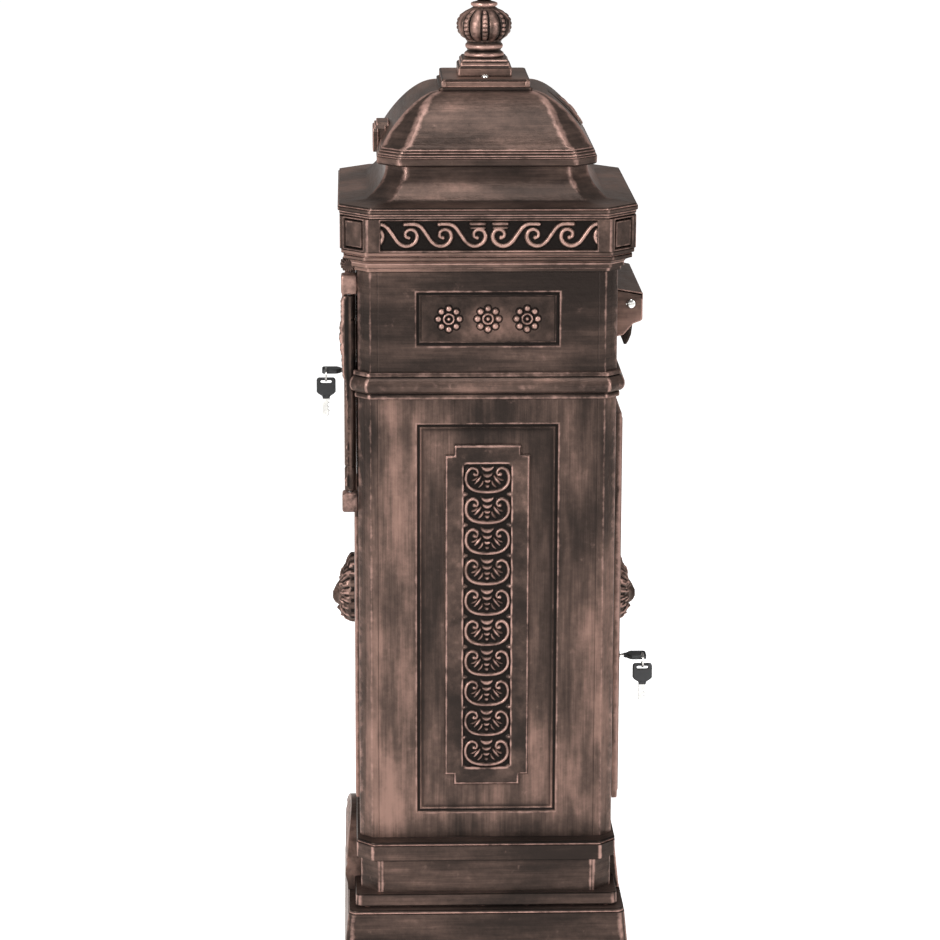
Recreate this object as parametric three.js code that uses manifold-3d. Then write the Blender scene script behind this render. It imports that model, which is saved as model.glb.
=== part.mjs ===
// Free-standing pillar mailbox, a stack of cast shells with two locked doors and a letter hood.
// Millimetres, +Z up, origin at the centre of the underside. +X is the letter-hood face.
import * as THREE from 'three';
import { mergeVertices } from 'three/addons/utils/BufferGeometryUtils.js';
import Module from 'manifold-3d';

const wasm = await Module();
wasm.setup();

// ---------- driving dimensions ----------
const gap = 0.3; // clearance between pieces that touch

// shaft
const shaftHalfX = 135;
const shaftHalfY = 137;
const shaftChamfer = 13;
const shaftHeight = 614.7;
const wall = 4;

// heights of the stacked castings
const baseHeight = 46;
const plinthHeight = 52;
const collarHeight = 21;
const entablatureHeight = 23;
const friezeHeight = 34;
const corniceHeight = 12;
const skirtHeight = 36;
const domeHeight = 71;
const domeLipHeight = 19;
const capHeight = 12;
const finialPlinthHeight = 18;
const finialCrownHeight = 85;

// how far each casting stands proud of the shaft, on the door faces (X) and on the sides (Y)
const baseProudX = 13;
const baseProudY = 28;
const stepProudX = 5;
const stepProudY = 21;
const neckProudX = -1;
const neckProudY = 13;
const collarProudX = 3.5;
const collarProudY = 17;
const waistProud = 8.5;
const friezeProud = 18;
const corniceProud = 20;

// base and plinth
const baseFlare = 4;
const baseWall = 5;
const basePlateThickness = 5;
const stepHeight = 13;
const neckChamfer = 19;
const footWidth = 100; // half width of the aprons below the doors

// collar, waist, frieze and cornice
const collarChamfer = 16.5;
const waistHeight = 28;
const waistRise = 481; // underside of the waist band above the collar
const friezeChamfer = 27.4;
const corniceChamfer = 32.3;
const flangeThickness = 5; // inside the entablature, under the tie rods' heads

// roof
const roofExtraY = 2; // the roof is this much deeper than wide, on each side
const skirtTopInset = 30; // from the shaft's faces
const skirtFlare = 20;
const domeLipInset = 20.6;
const domeBaseInset = 27;
const domeTopX = 50;
const domeChamfer = 21;
const roofWall = 4;
const capX = 49;
const capExtraY = 6;
const finialHalf = 28.3;

// side panels
const panelHalfWidth = 72;
const panelDepth = 2.5;
const panelFrame = 28; // from the collar to the lower panel
const lowerPanelHeight = 426;
const plaqueHalfWidth = 44.3;
const plaqueMarginBottom = 31.6;
const plaqueMarginTop = 22.6;
const plaqueThickness = 4;
const plaqueNotch = 9.5;
const stripHalfWidth = 25.2;
const motifCount = 10;
const rosettePanelRise = 29; // above the waist band
const rosettePanelHeight = 54;
const rosettePitch = 40.6;
const rosetteRadius = 13.8;

// doors
const leafThickness = 6;
const leafGap = 1.5; // between the shaft wall and a closed leaf
const pivotInset = 24; // pivot axis from the side of the shaft
const openingInset = 18; // opening from the pivot axis
const leafOverlap = 13; // of a leaf over its opening
const jambOverlap = 6; // of a leaf over its opening, above and below
const barrelRadius = 6;
const pinRadius = 2.5;
const pinFit = 0.3;
const pinDepth = 12;
const rearDoorDrop = 103; // bottom of the rear door below the waist band
const rearDoorHeight = 209;
const frontDoorRise = 33; // bottom of the front door above the collar
const frontDoorTopGap = 22; // top of the front door below the waist band
const hingeBlockHeight = 20.6;
const hingeBlockWidth = 20;
const hingeBlockProud = 17;
const rearPlateTopGap = 33; // top of the rear plate below the rear door
const rearPlateThickness = 4.2;
const lionRise = 234; // middle of the lion masks above the collar

// locks and keys
const lockInset = 15; // lock axis from the edge of the opening
const rearLockRise = 88.6; // above the bottom of its door
const frontLockRise = 152;
const lockRadius = 9;
const flangeRim = 2; // of the lock's flange round its body
const flangeThick = 2.2;
const plugRadius = 6;
const plugTailRadius = 4;
const camReach = 28;
const camThickness = 2.6;
const bowWidth = 20;
const bowLength = 21;
const bowThickness = 4.6;
const bowSlot = 3.6;
const bowSlotWidth = 12.4;
const bowBar = 2.6;
const bladeLength = 23;
const bladeWidth = 8;
const bladeThickness = 2;
const keyNeck = 8; // of the blade that shows outside the lock
const ringRadius = 7.6;
const ringWire = 0.6;
const ringHang = 3.1; // middle of the ring below the bow it hangs on

// letter slot
const slotHalfWidth = 76;
const slotRise = 55; // bottom of the slot above the waist band
const slotHeight = 33;
const hoodRim = 12; // of the hood on each side of the slot
const hoodWall = 4;
const hoodReach = 29.5; // from the shaft wall to the front edge
const hoodHeight = 52;
const flapPivotReach = 16.8; // from the shaft wall
const flapPivotDrop = 16.4; // below the top of the hood
const flapLength = 45;
const flapThickness = 2.5;
const flapPinRadius = 2;

// fasteners
const rodRadius = 4;
const rodInset = 16; // rod axis from the inside of the shaft
const rodFit = 0.4;
const anchorRadius = 6;
const anchorInsetX = 60;
const anchorInsetY = 40;

// ---------- levels and faces worked out from them ----------
const plinthZ = baseHeight;
const collarZ = plinthZ + plinthHeight;
const shaftZ = collarZ + collarHeight;
const waistZ = shaftZ + waistRise;
const entablatureZ = shaftZ + shaftHeight + gap;
const friezeZ = entablatureZ + entablatureHeight;
const corniceZ = friezeZ + friezeHeight;
const skirtZ = corniceZ + corniceHeight;
const domeZ = skirtZ + skirtHeight;
const domeStart = domeZ + domeLipHeight;
const capZ = domeZ + domeHeight;
const finialZ = capZ + capHeight;
const crownZ = finialZ + finialPlinthHeight;

const innerX = shaftHalfX - wall;
const innerY = shaftHalfY - wall;
const baseTopX = shaftHalfX + baseProudX;
const baseTopY = shaftHalfY + baseProudY;
const stepX = shaftHalfX + stepProudX;
const stepY = shaftHalfY + stepProudY;
const neckX = shaftHalfX + neckProudX;
const neckY = shaftHalfY + neckProudY;
const collarX = shaftHalfX + collarProudX;
const collarY = shaftHalfY + collarProudY;
const friezeX = shaftHalfX + friezeProud;
const friezeY = shaftHalfY + friezeProud;
const corniceX = shaftHalfX + corniceProud;
const corniceY = shaftHalfY + corniceProud;
const skirtTopX = shaftHalfX - skirtTopInset;
const domeLipX = shaftHalfX - domeLipInset;
const domeBaseX = shaftHalfX - domeBaseInset;
const rodOffset = Math.min(innerX, innerY) - rodInset;

const leafInner = shaftHalfX + leafGap;
const leafOuter = leafInner + leafThickness;
const pivotX = leafOuter + 1;
const pivotOffset = shaftHalfY - pivotInset;
const openingHalfWidth = pivotOffset - openingInset;
const lockOffset = openingHalfWidth - lockInset;
const rearDoorBottom = waistZ - rearDoorDrop;
const frontDoorBottom = shaftZ + frontDoorRise;
const frontDoorHeight = waistZ - frontDoorTopGap - frontDoorBottom;
const rearLockZ = rearDoorBottom + rearLockRise;
const frontLockZ = frontDoorBottom + frontLockRise;
const slotBottom = waistZ + slotRise;
const hoodTop = slotBottom + hoodHeight;
const hoodHalfWidth = slotHalfWidth + hoodRim;
const flapAxisX = shaftHalfX + flapPivotReach;
const flapAxisZ = hoodTop - flapPivotDrop;
const lowerPanelZ = shaftZ + panelFrame;
const rosettePanelZ = waistZ + waistHeight + rosettePanelRise;
const screwY = finialHalf + 5.5;

// ---------- finishes ----------
const finish = (color, roughness, metalness) =>
  new THREE.MeshStandardMaterial({ color, roughness, metalness });
const copper = finish(0x5b443e, 0.5, 0.75);
const copperLight = finish(0x8d6558, 0.45, 0.8);
const nickel = finish(0xc9c9c4, 0.25, 1);
const steel = finish(0x85868a, 0.45, 1);
const plastic = finish(0x141416, 0.5, 0);

// ---------- geometry helpers ----------
const point = (x, y) => new THREE.Vector2(x, y);

function toSolid(geometry) {
  const bare = geometry.index ? geometry.toNonIndexed() : geometry.clone();
  bare.deleteAttribute('normal');
  bare.deleteAttribute('uv');
  const merged = mergeVertices(bare, 1e-4);
  return new wasm.Manifold(new wasm.Mesh({
    numProp: 3,
    vertProperties: new Float32Array(merged.attributes.position.array),
    triVerts: new Uint32Array(merged.index.array),
  }));
}

function fromSolid(solid) {
  const mesh = solid.getMesh();
  const geometry = new THREE.BufferGeometry();
  geometry.setAttribute('position', new THREE.BufferAttribute(new Float32Array(mesh.vertProperties), 3));
  geometry.setIndex(new THREE.BufferAttribute(new Uint32Array(mesh.triVerts), 1));
  return geometry;
}

const cut = (geometry, ...tools) =>
  fromSolid(tools.reduce((s, t) => s.subtract(toSolid(t)), toSolid(geometry)));
const join = (geometry, ...others) =>
  fromSolid(others.reduce((s, o) => s.add(toSolid(o)), toSolid(geometry)));

function box(x0, x1, y0, y1, z0, z1) {
  const geometry = new THREE.BoxGeometry(Math.abs(x1 - x0), Math.abs(y1 - y0), Math.abs(z1 - z0));
  return geometry.translate((x0 + x1) / 2, (y0 + y1) / 2, (z0 + z1) / 2);
}

// Extrudes an outline along one axis. Outline points are (x, y), (y, z) or (x, z) for Z, X and Y.
function prism(axis, outline, from, to, holes = []) {
  const wound = (points, clockwise) => (
    THREE.ShapeUtils.isClockWise(points) === clockwise ? points : [...points].reverse());
  const shape = new THREE.Shape(wound(outline, false));
  shape.holes = holes.map((hole) => new THREE.Path(wound(hole, true)));
  const depth = Math.abs(to - from);
  const geometry = new THREE.ExtrudeGeometry(shape, { depth, bevelEnabled: false, curveSegments: 12 });
  const low = Math.min(from, to);
  if (axis === 'Z') return geometry.translate(0, 0, low);
  const turn = new THREE.Matrix4();
  if (axis === 'X') {
    turn.makeBasis(new THREE.Vector3(0, 1, 0), new THREE.Vector3(0, 0, 1), new THREE.Vector3(1, 0, 0));
    return geometry.applyMatrix4(turn).translate(low, 0, 0);
  }
  turn.makeBasis(new THREE.Vector3(1, 0, 0), new THREE.Vector3(0, 0, 1), new THREE.Vector3(0, -1, 0));
  return geometry.applyMatrix4(turn).translate(0, low + depth, 0);
}

// A cylinder along an axis through (a, b), which are (x, y), (y, z) or (x, z) as for prism.
function rod(axis, a, b, radius, from, to, sides = 20) {
  return prism(axis, circle(a, b, radius, sides), from, to);
}

function circle(a, b, radius, sides) {
  const points = [];
  for (let i = 0; i < sides; i++) {
    const angle = (2 * Math.PI * i) / sides;
    points.push(point(a + radius * Math.cos(angle), b + radius * Math.sin(angle)));
  }
  return points;
}

function rectangle(a0, a1, b0, b1) {
  return [point(a0, b0), point(a1, b0), point(a1, b1), point(a0, b1)];
}

// One ring of an eight-sided casting: a rectangle with its corners cut at 45 degrees.
const ring = (z, halfX, halfY, chamfer) => ({ z, halfX, halfY, chamfer });

function ringPoints({ z, halfX: x, halfY: y, chamfer: c }) {
  return [
    [x - c, -y, z], [x, c - y, z], [x, y - c, z], [x - c, y, z],
    [c - x, y, z], [-x, y - c, z], [-x, c - y, z], [c - x, -y, z],
  ];
}

// Skins a chain of rings. A closed chain goes up the outside and down the inside; an open one is capped.
function skin(rings, closed) {
  const positions = rings.flatMap(ringPoints).flat();
  const sides = 8;
  const indices = [];
  const last = closed ? rings.length : rings.length - 1;
  for (let r = 0; r < last; r++) {
    const a = r * sides;
    const b = ((r + 1) % rings.length) * sides;
    for (let i = 0; i < sides; i++) {
      const j = (i + 1) % sides;
      indices.push(a + i, a + j, b + j, a + i, b + j, b + i);
    }
  }
  if (!closed) {
    const top = (rings.length - 1) * sides;
    for (let i = 1; i < sides - 1; i++) {
      indices.push(0, i + 1, i, top, top + i, top + i + 1);
    }
  }
  const geometry = new THREE.BufferGeometry();
  geometry.setAttribute('position', new THREE.Float32BufferAttribute(positions, 3));
  geometry.setIndex(indices);
  return geometry;
}

// A hollow band: outer rings from the bottom up, then the inner ones from the top down.
const band = (outer, inner) => skin([...outer, ...inner], true);

const mailbox = new THREE.Group();
function add(name, geometry, material) {
  const plain = geometry.index ? geometry.toNonIndexed() : geometry;
  plain.deleteAttribute('uv');
  plain.computeVertexNormals();
  const mesh = new THREE.Mesh(plain, material);
  mesh.name = name;
  mailbox.add(mesh);
}

// ---------- base, plinth and collar ----------
const rodCorners = [[1, 1], [-1, 1], [-1, -1], [1, -1]];
const rodHoles = (z0, z1) => rodCorners.map(([sx, sy]) => (
  rod('Z', sx * rodOffset, sy * rodOffset, rodRadius + rodFit, z0 - 1, z1 + 1, 12)));

function basePlate() {
  const halfX = baseTopX - baseWall - gap;
  const halfY = baseTopY - baseWall - gap;
  const plate = skin([ring(0, halfX, halfY, 4), ring(basePlateThickness, halfX, halfY, 4)], false);
  const anchorX = halfX - anchorInsetX;
  const anchorY = halfY - anchorInsetY;
  const anchors = rodCorners.map(([sx, sy]) => (
    rod('Z', sx * anchorX, sy * anchorY, anchorRadius, -1, basePlateThickness + 1, 16)));
  return cut(plate, ...rodHoles(0, basePlateThickness), ...anchors);
}

function baseBlock() {
  const chamfer = 5.5;
  const bead = 3;
  const opening = rodOffset + 10;
  return band([
    ring(0, baseTopX + baseFlare, baseTopY + baseFlare, chamfer),
    ring(baseHeight - bead, baseTopX, baseTopY, chamfer),
    ring(baseHeight - bead, baseTopX - 1, baseTopY - 1, chamfer),
    ring(baseHeight, baseTopX - 1, baseTopY - 1, chamfer),
  ], [
    ring(baseHeight, opening, opening, 4),
    ring(baseHeight - baseWall, opening, opening, 4),
    ring(baseHeight - baseWall, baseTopX - baseWall, baseTopY - baseWall, 4),
    ring(0, baseTopX - baseWall, baseTopY - baseWall, 4),
  ]);
}

function plinth() {
  const foot = 3;
  const z = plinthZ + gap;
  const stepTop = plinthZ + foot + stepHeight;
  const body = band([
    ring(z, stepX - 5, stepY - 5, 6),
    ring(plinthZ + foot, stepX - 5, stepY - 5, 6),
    ring(plinthZ + foot, stepX, stepY, 4),
    ring(stepTop, stepX, stepY, 4),
    ring(stepTop, neckX, neckY, neckChamfer),
    ring(collarZ, neckX, neckY, neckChamfer),
  ], [
    ring(collarZ, neckX - wall, neckY - wall, neckChamfer - wall / 2),
    ring(z, neckX - wall, neckY - wall, neckChamfer - wall / 2),
  ]);
  const apron = prism('Y', [
    point(neckX - 1, z), point(baseTopX - 1, z), point(neckX + 7, collarZ), point(neckX - 1, collarZ),
  ], -footWidth, footWidth);
  return join(body, apron);
}

function collar() {
  const opening = rodOffset + 6;
  const groove = 1.5;
  return band([
    ring(collarZ + gap, collarX, collarY, collarChamfer),
    ring(shaftZ - 2 * groove, collarX, collarY, collarChamfer),
    ring(shaftZ - 2 * groove, collarX - groove, collarY - groove, collarChamfer),
    ring(shaftZ - groove, collarX - groove, collarY - groove, collarChamfer),
    ring(shaftZ - groove, collarX, collarY, collarChamfer),
    ring(shaftZ, collarX, collarY, collarChamfer),
  ], [
    ring(shaftZ, opening, opening, 4),
    ring(collarZ + gap, opening, opening, 4),
  ]);
}

function rearFootOrnament() {
  const z = plinthZ + gap;
  const face = shaftHalfX + gap;
  const stepTop = plinthZ + 3 + stepHeight + gap;
  const top = frontDoorBottom - 6;
  return prism('Y', [
    point(-stepX - gap, z), point(-baseTopX - 1.5, z), point(-baseTopX - 1.5, collarZ - 10),
    point(-baseTopX - 4, collarZ - 1), point(-baseTopX - 1, shaftZ - 7), point(-baseTopX + 2, top),
    point(-face, top), point(-face, shaftZ + gap), point(-collarX - gap, shaftZ + gap),
    point(-collarX - gap, collarZ), point(-neckX - gap, collarZ), point(-neckX - gap, stepTop),
    point(-stepX - gap, stepTop),
  ], -footWidth, footWidth);
}

function compartmentFloor() {
  const z = shaftZ + gap;
  const plate = skin([
    ring(z, innerX - gap, innerY - gap, 12),
    ring(z + 2, innerX - gap, innerY - gap, 12),
  ], false);
  return cut(plate, ...rodHoles(z, z + 2));
}

// ---------- shaft ----------
// Outline of one shaft wall, mitred through the middle of both corners. along and across are the half
// sizes of the shaft measured along the wall and from the axis to it.
function wallOutline(along, across) {
  const mitre = 0.25;
  const innerChamfer = shaftChamfer - wall * (2 - Math.SQRT2);
  const a = along - shaftChamfer;
  const innerA = along - wall - innerChamfer;
  const right = [
    point(along - shaftChamfer / 2 - mitre, across - shaftChamfer / 2),
    point(a, across),
  ];
  const inside = [
    point(innerA, across - wall),
    point(along - wall - innerChamfer / 2 - mitre, across - wall - innerChamfer / 2),
  ];
  const mirror = (points) => points.map((p) => point(-p.x, p.y)).reverse();
  return [...right, ...mirror(right), ...mirror(inside), ...inside];
}

function shaftWall(side) {
  const z0 = shaftZ + gap;
  const z1 = entablatureZ - gap;
  const isSide = side === 'left' || side === 'right';
  const sign = side === 'left' || side === 'rear' ? -1 : 1;
  const outline = isSide ? wallOutline(shaftHalfX, shaftHalfY) : wallOutline(shaftHalfY, shaftHalfX);
  const placed = outline.map((p) => (isSide ? point(p.x, sign * p.y) : point(sign * p.y, p.x)));
  return prism('Z', placed, z0, z1);
}

function sideWall(side) {
  const sign = side === 'left' ? -1 : 1;
  const y0 = sign * (shaftHalfY - panelDepth);
  const y1 = sign * (shaftHalfY + 1);
  const w = panelHalfWidth;
  return cut(
    shaftWall(side),
    box(-w, w, y0, y1, lowerPanelZ, lowerPanelZ + lowerPanelHeight),
    box(-w, w, y0, y1, rosettePanelZ, rosettePanelZ + rosettePanelHeight),
  );
}

function frontWall() {
  const x0 = innerX - 10;
  const x1 = shaftHalfX + 1;
  const w = openingHalfWidth;
  return cut(
    shaftWall('front'),
    box(x0, x1, -w, w, frontDoorBottom + jambOverlap, frontDoorBottom + frontDoorHeight - jambOverlap),
    box(x0, x1, -slotHalfWidth, slotHalfWidth, slotBottom, slotBottom + slotHeight),
  );
}

function rearWall() {
  const w = openingHalfWidth;
  return cut(
    shaftWall('rear'),
    box(-innerX + 10, -shaftHalfX - 1, -w, w, rearDoorBottom + jambOverlap,
      rearDoorBottom + rearDoorHeight - jambOverlap),
  );
}

// A half-round band round the shaft, open behind the rear door.
function waistMoulding() {
  const steps = 8;
  const outer = [];
  for (let i = 0; i <= steps; i++) {
    const t = i / steps;
    const proud = 2.5 + (waistProud - 2.5) * Math.sin(Math.PI * t) ** 0.7;
    const z = waistZ + t * waistHeight;
    outer.push(ring(z, shaftHalfX + proud, shaftHalfY + proud, shaftChamfer + proud / 2.5));
  }
  const x = shaftHalfX + gap;
  const y = shaftHalfY + gap;
  const inner = [ring(waistZ + waistHeight, x, y, shaftChamfer), ring(waistZ, x, y, shaftChamfer)];
  const doorway = pivotOffset + barrelRadius + 2;
  return cut(band(outer, inner), box(-shaftHalfX + 20, -shaftHalfX - 20, -doorway, doorway, waistZ - 1,
    waistZ + waistHeight + 1));
}

// ---------- side ornament ----------
function arc(cx, cz, radius, from, to, steps) {
  const points = [];
  for (let i = 0; i <= steps; i++) {
    const angle = THREE.MathUtils.degToRad(from + ((to - from) * i) / steps);
    points.push(point(cx + radius * Math.cos(angle), cz + radius * Math.sin(angle)));
  }
  return points;
}

// A cup of the palmette strip: a crescent open at the top.
function cup(cz, size) {
  return [...arc(0, cz, size, -200, 20, 9), ...arc(0, cz + size * 0.12, size * 0.72, 20, -200, 9)];
}

function plaque(side) {
  const sign = side === 'left' ? -1 : 1;
  const back = shaftHalfY - panelDepth + gap;
  const front = back + plaqueThickness;
  const z0 = lowerPanelZ + plaqueMarginBottom;
  const z1 = lowerPanelZ + lowerPanelHeight - plaqueMarginTop;
  const w = plaqueHalfWidth;
  const n = plaqueNotch;
  const outline = [
    point(-w + n, z0), point(w - n, z0), point(w - n, z0 + n), point(w, z0 + n),
    point(w, z1 - n), point(w - n, z1 - n), point(w - n, z1), point(-w + n, z1),
    point(-w + n, z1 - n), point(-w, z1 - n), point(-w, z0 + n), point(-w + n, z0 + n),
  ];
  const stripBottom = z0 + 2 * n;
  const stripTop = z1 - 2 * n;
  const pitch = (stripTop - stripBottom) / motifCount;
  const pieces = [];
  for (let i = 0; i < motifCount; i++) {
    const cz = stripBottom + pitch * (i + 0.5);
    pieces.push(prism('Y', cup(cz, pitch * 0.46), sign * (front - 0.5), sign * (front + 2)));
    pieces.push(prism('Y', circle(0, cz, pitch * 0.2, 8), sign * (front - 0.5), sign * (front + 2.4)));
  }
  const frame = prism('Y', rectangle(-stripHalfWidth - 2, stripHalfWidth + 2, stripBottom - 2, stripTop + 2),
    sign * (front - 0.5), sign * (front + 1),
    [rectangle(-stripHalfWidth, stripHalfWidth, stripBottom, stripTop)]);
  return join(prism('Y', outline, sign * back, sign * front), frame, ...pieces);
}

function rosettePanel(side) {
  const sign = side === 'left' ? -1 : 1;
  const back = shaftHalfY - panelDepth + gap;
  const front = back + 1.4;
  const w = panelHalfWidth - gap - 3;
  const cz = rosettePanelZ + rosettePanelHeight / 2;
  const h = rosettePanelHeight / 2 - gap - 3;
  const petals = 8;
  const rosettes = [-1, 0, 1].map((k) => {
    const outline = [];
    const stepsPerPetal = 4;
    for (let i = 0; i < petals * stepsPerPetal; i++) {
      const angle = (2 * Math.PI * i) / (petals * stepsPerPetal);
      const radius = rosetteRadius - 2 + 2 * Math.cos(petals * angle);
      outline.push(point(k * rosettePitch + radius * Math.cos(angle), cz + radius * Math.sin(angle)));
    }
    return prism('Y', outline, sign * (front - 0.5), sign * (front + 3));
  });
  return join(prism('Y', rectangle(-w, w, cz - h, cz + h), sign * back, sign * front), ...rosettes);
}

// ---------- crown bands and roof ----------
function entablature() {
  const z = entablatureZ;
  const opening = rodOffset - 9;
  const steps = [
    [0, 3, 14], [4.5, 3, 14], [4.5, 6, 15], [9, 6, 15], [13.5, 10.5, 18], [13.5, 14, 21], [17.5, 14, 21],
    [17.5, 13, 22], [18.5, 13, 22], [18.5, 16.5, 25], [entablatureHeight, 16.5, 25],
  ];
  const outer = steps.map(([dz, proud, chamfer]) => (
    ring(z + dz, shaftHalfX + proud, shaftHalfY + proud, chamfer)));
  const body = band(outer, [
    ring(z + entablatureHeight, innerX, innerY, 8),
    ring(z + flangeThickness, innerX, innerY, 8),
    ring(z + flangeThickness, opening, opening, 4),
    ring(z, opening, opening, 4),
  ]);
  return cut(body, ...rodHoles(z, z + flangeThickness));
}

function frieze() {
  const z = friezeZ + gap;
  const border = 4.2;
  const panelWidth = friezeX - friezeChamfer - 13.5;
  const depth = 2.5;
  const body = band([
    ring(z, friezeX, friezeY, friezeChamfer),
    ring(corniceZ, friezeX, friezeY, friezeChamfer),
  ], [
    ring(corniceZ, innerX + 4, innerY + 4, 12),
    ring(z, innerX + 4, innerY + 4, 12),
  ]);
  const z0 = friezeZ + border;
  const z1 = corniceZ - border;
  const panels = [];
  for (const s of [-1, 1]) {
    panels.push(box(-panelWidth, panelWidth, s * (friezeY - depth), s * (friezeY + 1), z0, z1));
    panels.push(box(s * (friezeX - depth), s * (friezeX + 1), -panelWidth, panelWidth, z0, z1));
  }
  return cut(body, ...panels);
}

function corniceRoof() {
  const z = corniceZ + gap;
  const slope = 3;
  const levels = 6;
  const outer = [
    ring(z, corniceX - 1.5, corniceY - 1.5, corniceChamfer - 2),
    ring(z + 3, corniceX - 1.5, corniceY - 1.5, corniceChamfer - 2),
    ring(z + 4.5, corniceX, corniceY, corniceChamfer),
    ring(skirtZ, corniceX, corniceY, corniceChamfer),
  ];
  for (let i = 0; i <= levels; i++) {
    const t = i / levels;
    const half = skirtTopX + skirtFlare * (1 - t) ** 2.2;
    outer.push(ring(skirtZ + slope + t * (skirtHeight - slope), half, half + roofExtraY, 20 + 2 * (1 - t)));
  }
  const top = skirtTopX - roofWall;
  const bottom = skirtTopX + 4;
  const inner = [
    ring(domeZ, top, top + roofExtraY, 17),
    ring(skirtZ + 4, bottom, bottom + roofExtraY, 18),
    ring(skirtZ - roofWall, innerX + 4, innerY + 4, 20),
    ring(z, innerX + 4, innerY + 4, 20),
  ];
  return band(outer, inner);
}

// Half width of the dome at height z: steep above the lip and rolling over towards the cap.
function domeHalf(z) {
  const t = THREE.MathUtils.clamp((z - domeStart) / (capZ - domeStart), 0, 1);
  return domeTopX + (domeBaseX - domeTopX) * (1 - t ** 1.1) ** 0.57;
}
const domeRing = (z, inset) => {
  const t = (z - domeStart) / (capZ - domeStart);
  const half = domeHalf(z) - inset;
  return ring(z, half, half + roofExtraY, domeChamfer * (1 - t * t) + 3 - inset / 3);
};

function dome() {
  const z = domeZ + gap;
  const lip = [[0, -2.4, 20], [1.2, 0, 22.4], [9, 0, 22.4], [9, -1.4, 22], [13, -1.4, 22], [14, -3, 22],
    [16.5, -3, 22]];
  const levels = [0, 0.12, 0.25, 0.4, 0.55, 0.7, 0.82, 0.91, 0.97, 1];
  const height = capZ - domeStart;
  const inside = [0.9, 0.7, 0.4, 0].map((t) => {
    const r = domeRing(domeStart + t * height, roofWall);
    return { ...r, z: r.z - roofWall / 2 };
  });
  const outer = lip.map(([dz, d, c]) => ring(z + dz, domeLipX + d, domeLipX + d + roofExtraY, c));
  outer.push(...levels.map((t) => domeRing(domeStart + t * height, 0)));
  const bottom = ring(z, skirtTopX - roofWall, skirtTopX - roofWall + roofExtraY, 17);
  return skin([...inside, bottom, ...outer], false);
}

function domeCap() {
  const z = capZ + gap;
  const body = skin([
    ring(z, capX, capX + capExtraY, 2),
    ring(z + 3.5, capX, capX + capExtraY, 2),
    ring(z + 4, capX - 4.5, capX - 4.5 + capExtraY, 2),
    ring(z + 9, capX - 4.5, capX - 4.5 + capExtraY, 2),
    ring(z + 9.5, capX - 3, capX - 3 + capExtraY, 2),
    ring(finialZ, capX - 3, capX - 3 + capExtraY, 2),
  ], false);
  return cut(body, rod('Z', 0, -screwY, 1.8, finialZ - 7, finialZ + 1, 10));
}

function finialPlinth() {
  const z = finialZ + gap;
  return skin([
    ring(z, finialHalf, finialHalf + 1, 1),
    ring(z + 9.5, finialHalf, finialHalf + 1, 1),
    ring(z + 11, finialHalf - 1.5, finialHalf - 0.5, 1),
    ring(z + 11.5, finialHalf - 3, finialHalf - 2, 1),
    ring(z + 15.5, finialHalf - 3, finialHalf - 2, 1),
    ring(crownZ, finialHalf - 5, finialHalf - 4, 1),
  ], false);
}

function finialScrew() {
  const z = finialZ + gap;
  const profile = [point(0, z - 5), point(1.5, z - 5), point(1.5, z), point(3.2, z), point(3.2, z + 1),
    point(1.8, z + 2.2), point(0, z + 2.4)];
  return new THREE.LatheGeometry(profile, 14).rotateX(Math.PI / 2).translate(0, -screwY, 0);
}

// Round collar, ribbed crown and orb turned in one piece.
function finialCrown() {
  const z = crownZ + gap;
  const k = finialCrownHeight / 85;
  const profile = [
    [0, 0], [20, 0], [21, 1.5], [20, 4.5], [17.5, 6], [17.5, 8], [19.5, 9.5], [20, 12], [18, 15.5],
    [20, 17.5], [26, 22.5], [29.3, 31], [29, 38], [25, 44.5], [17, 49.5], [12, 51], [12, 52.5], [14, 53.5],
    [14, 56], [12, 57], [7, 58.5], [6, 60.5], [8.5, 62.5], [11.5, 67], [12, 70.5], [10.5, 75], [6, 79.5],
    [3, 81], [3.5, 83], [0, 84.7],
  ].map(([r, h]) => point(r, z + h * k));
  return new THREE.LatheGeometry(profile, 20).rotateX(Math.PI / 2);
}

// A relief that lies on the front of the dome and follows its curve.
function domeCrest() {
  const z0 = domeStart + 10;
  const z1 = capZ - 5;
  const steps = 8;
  const under = [];
  const over = [];
  for (let i = 0; i <= steps; i++) {
    const z = z0 + ((z1 - z0) * i) / steps;
    under.push(point(domeHalf(z) + 1, z));
    over.push(point(domeHalf(z) + 5.5 + (i % 2), z + 1.5));
  }
  return prism('Y', [...under, ...over.reverse()], -34, 34);
}

function domeTablet() {
  const z0 = domeZ + 3;
  const z1 = domeStart + 15;
  const x = domeLipX + 0.5;
  const steps = 4;
  const back = [];
  for (let i = 0; i <= steps; i++) {
    const z = domeStart + 0.5 + ((z1 - domeStart - 0.5) * i) / steps;
    back.push(point(-domeHalf(z) - 1, z));
  }
  return prism('Y', [
    point(-x, z0), point(-x - 3.2, z0), point(-x - 3.2, z1 - 5), point(-x + 1, z1),
    ...back.reverse(), point(-x, domeStart + 0.5),
  ], -26, 26);
}

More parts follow.
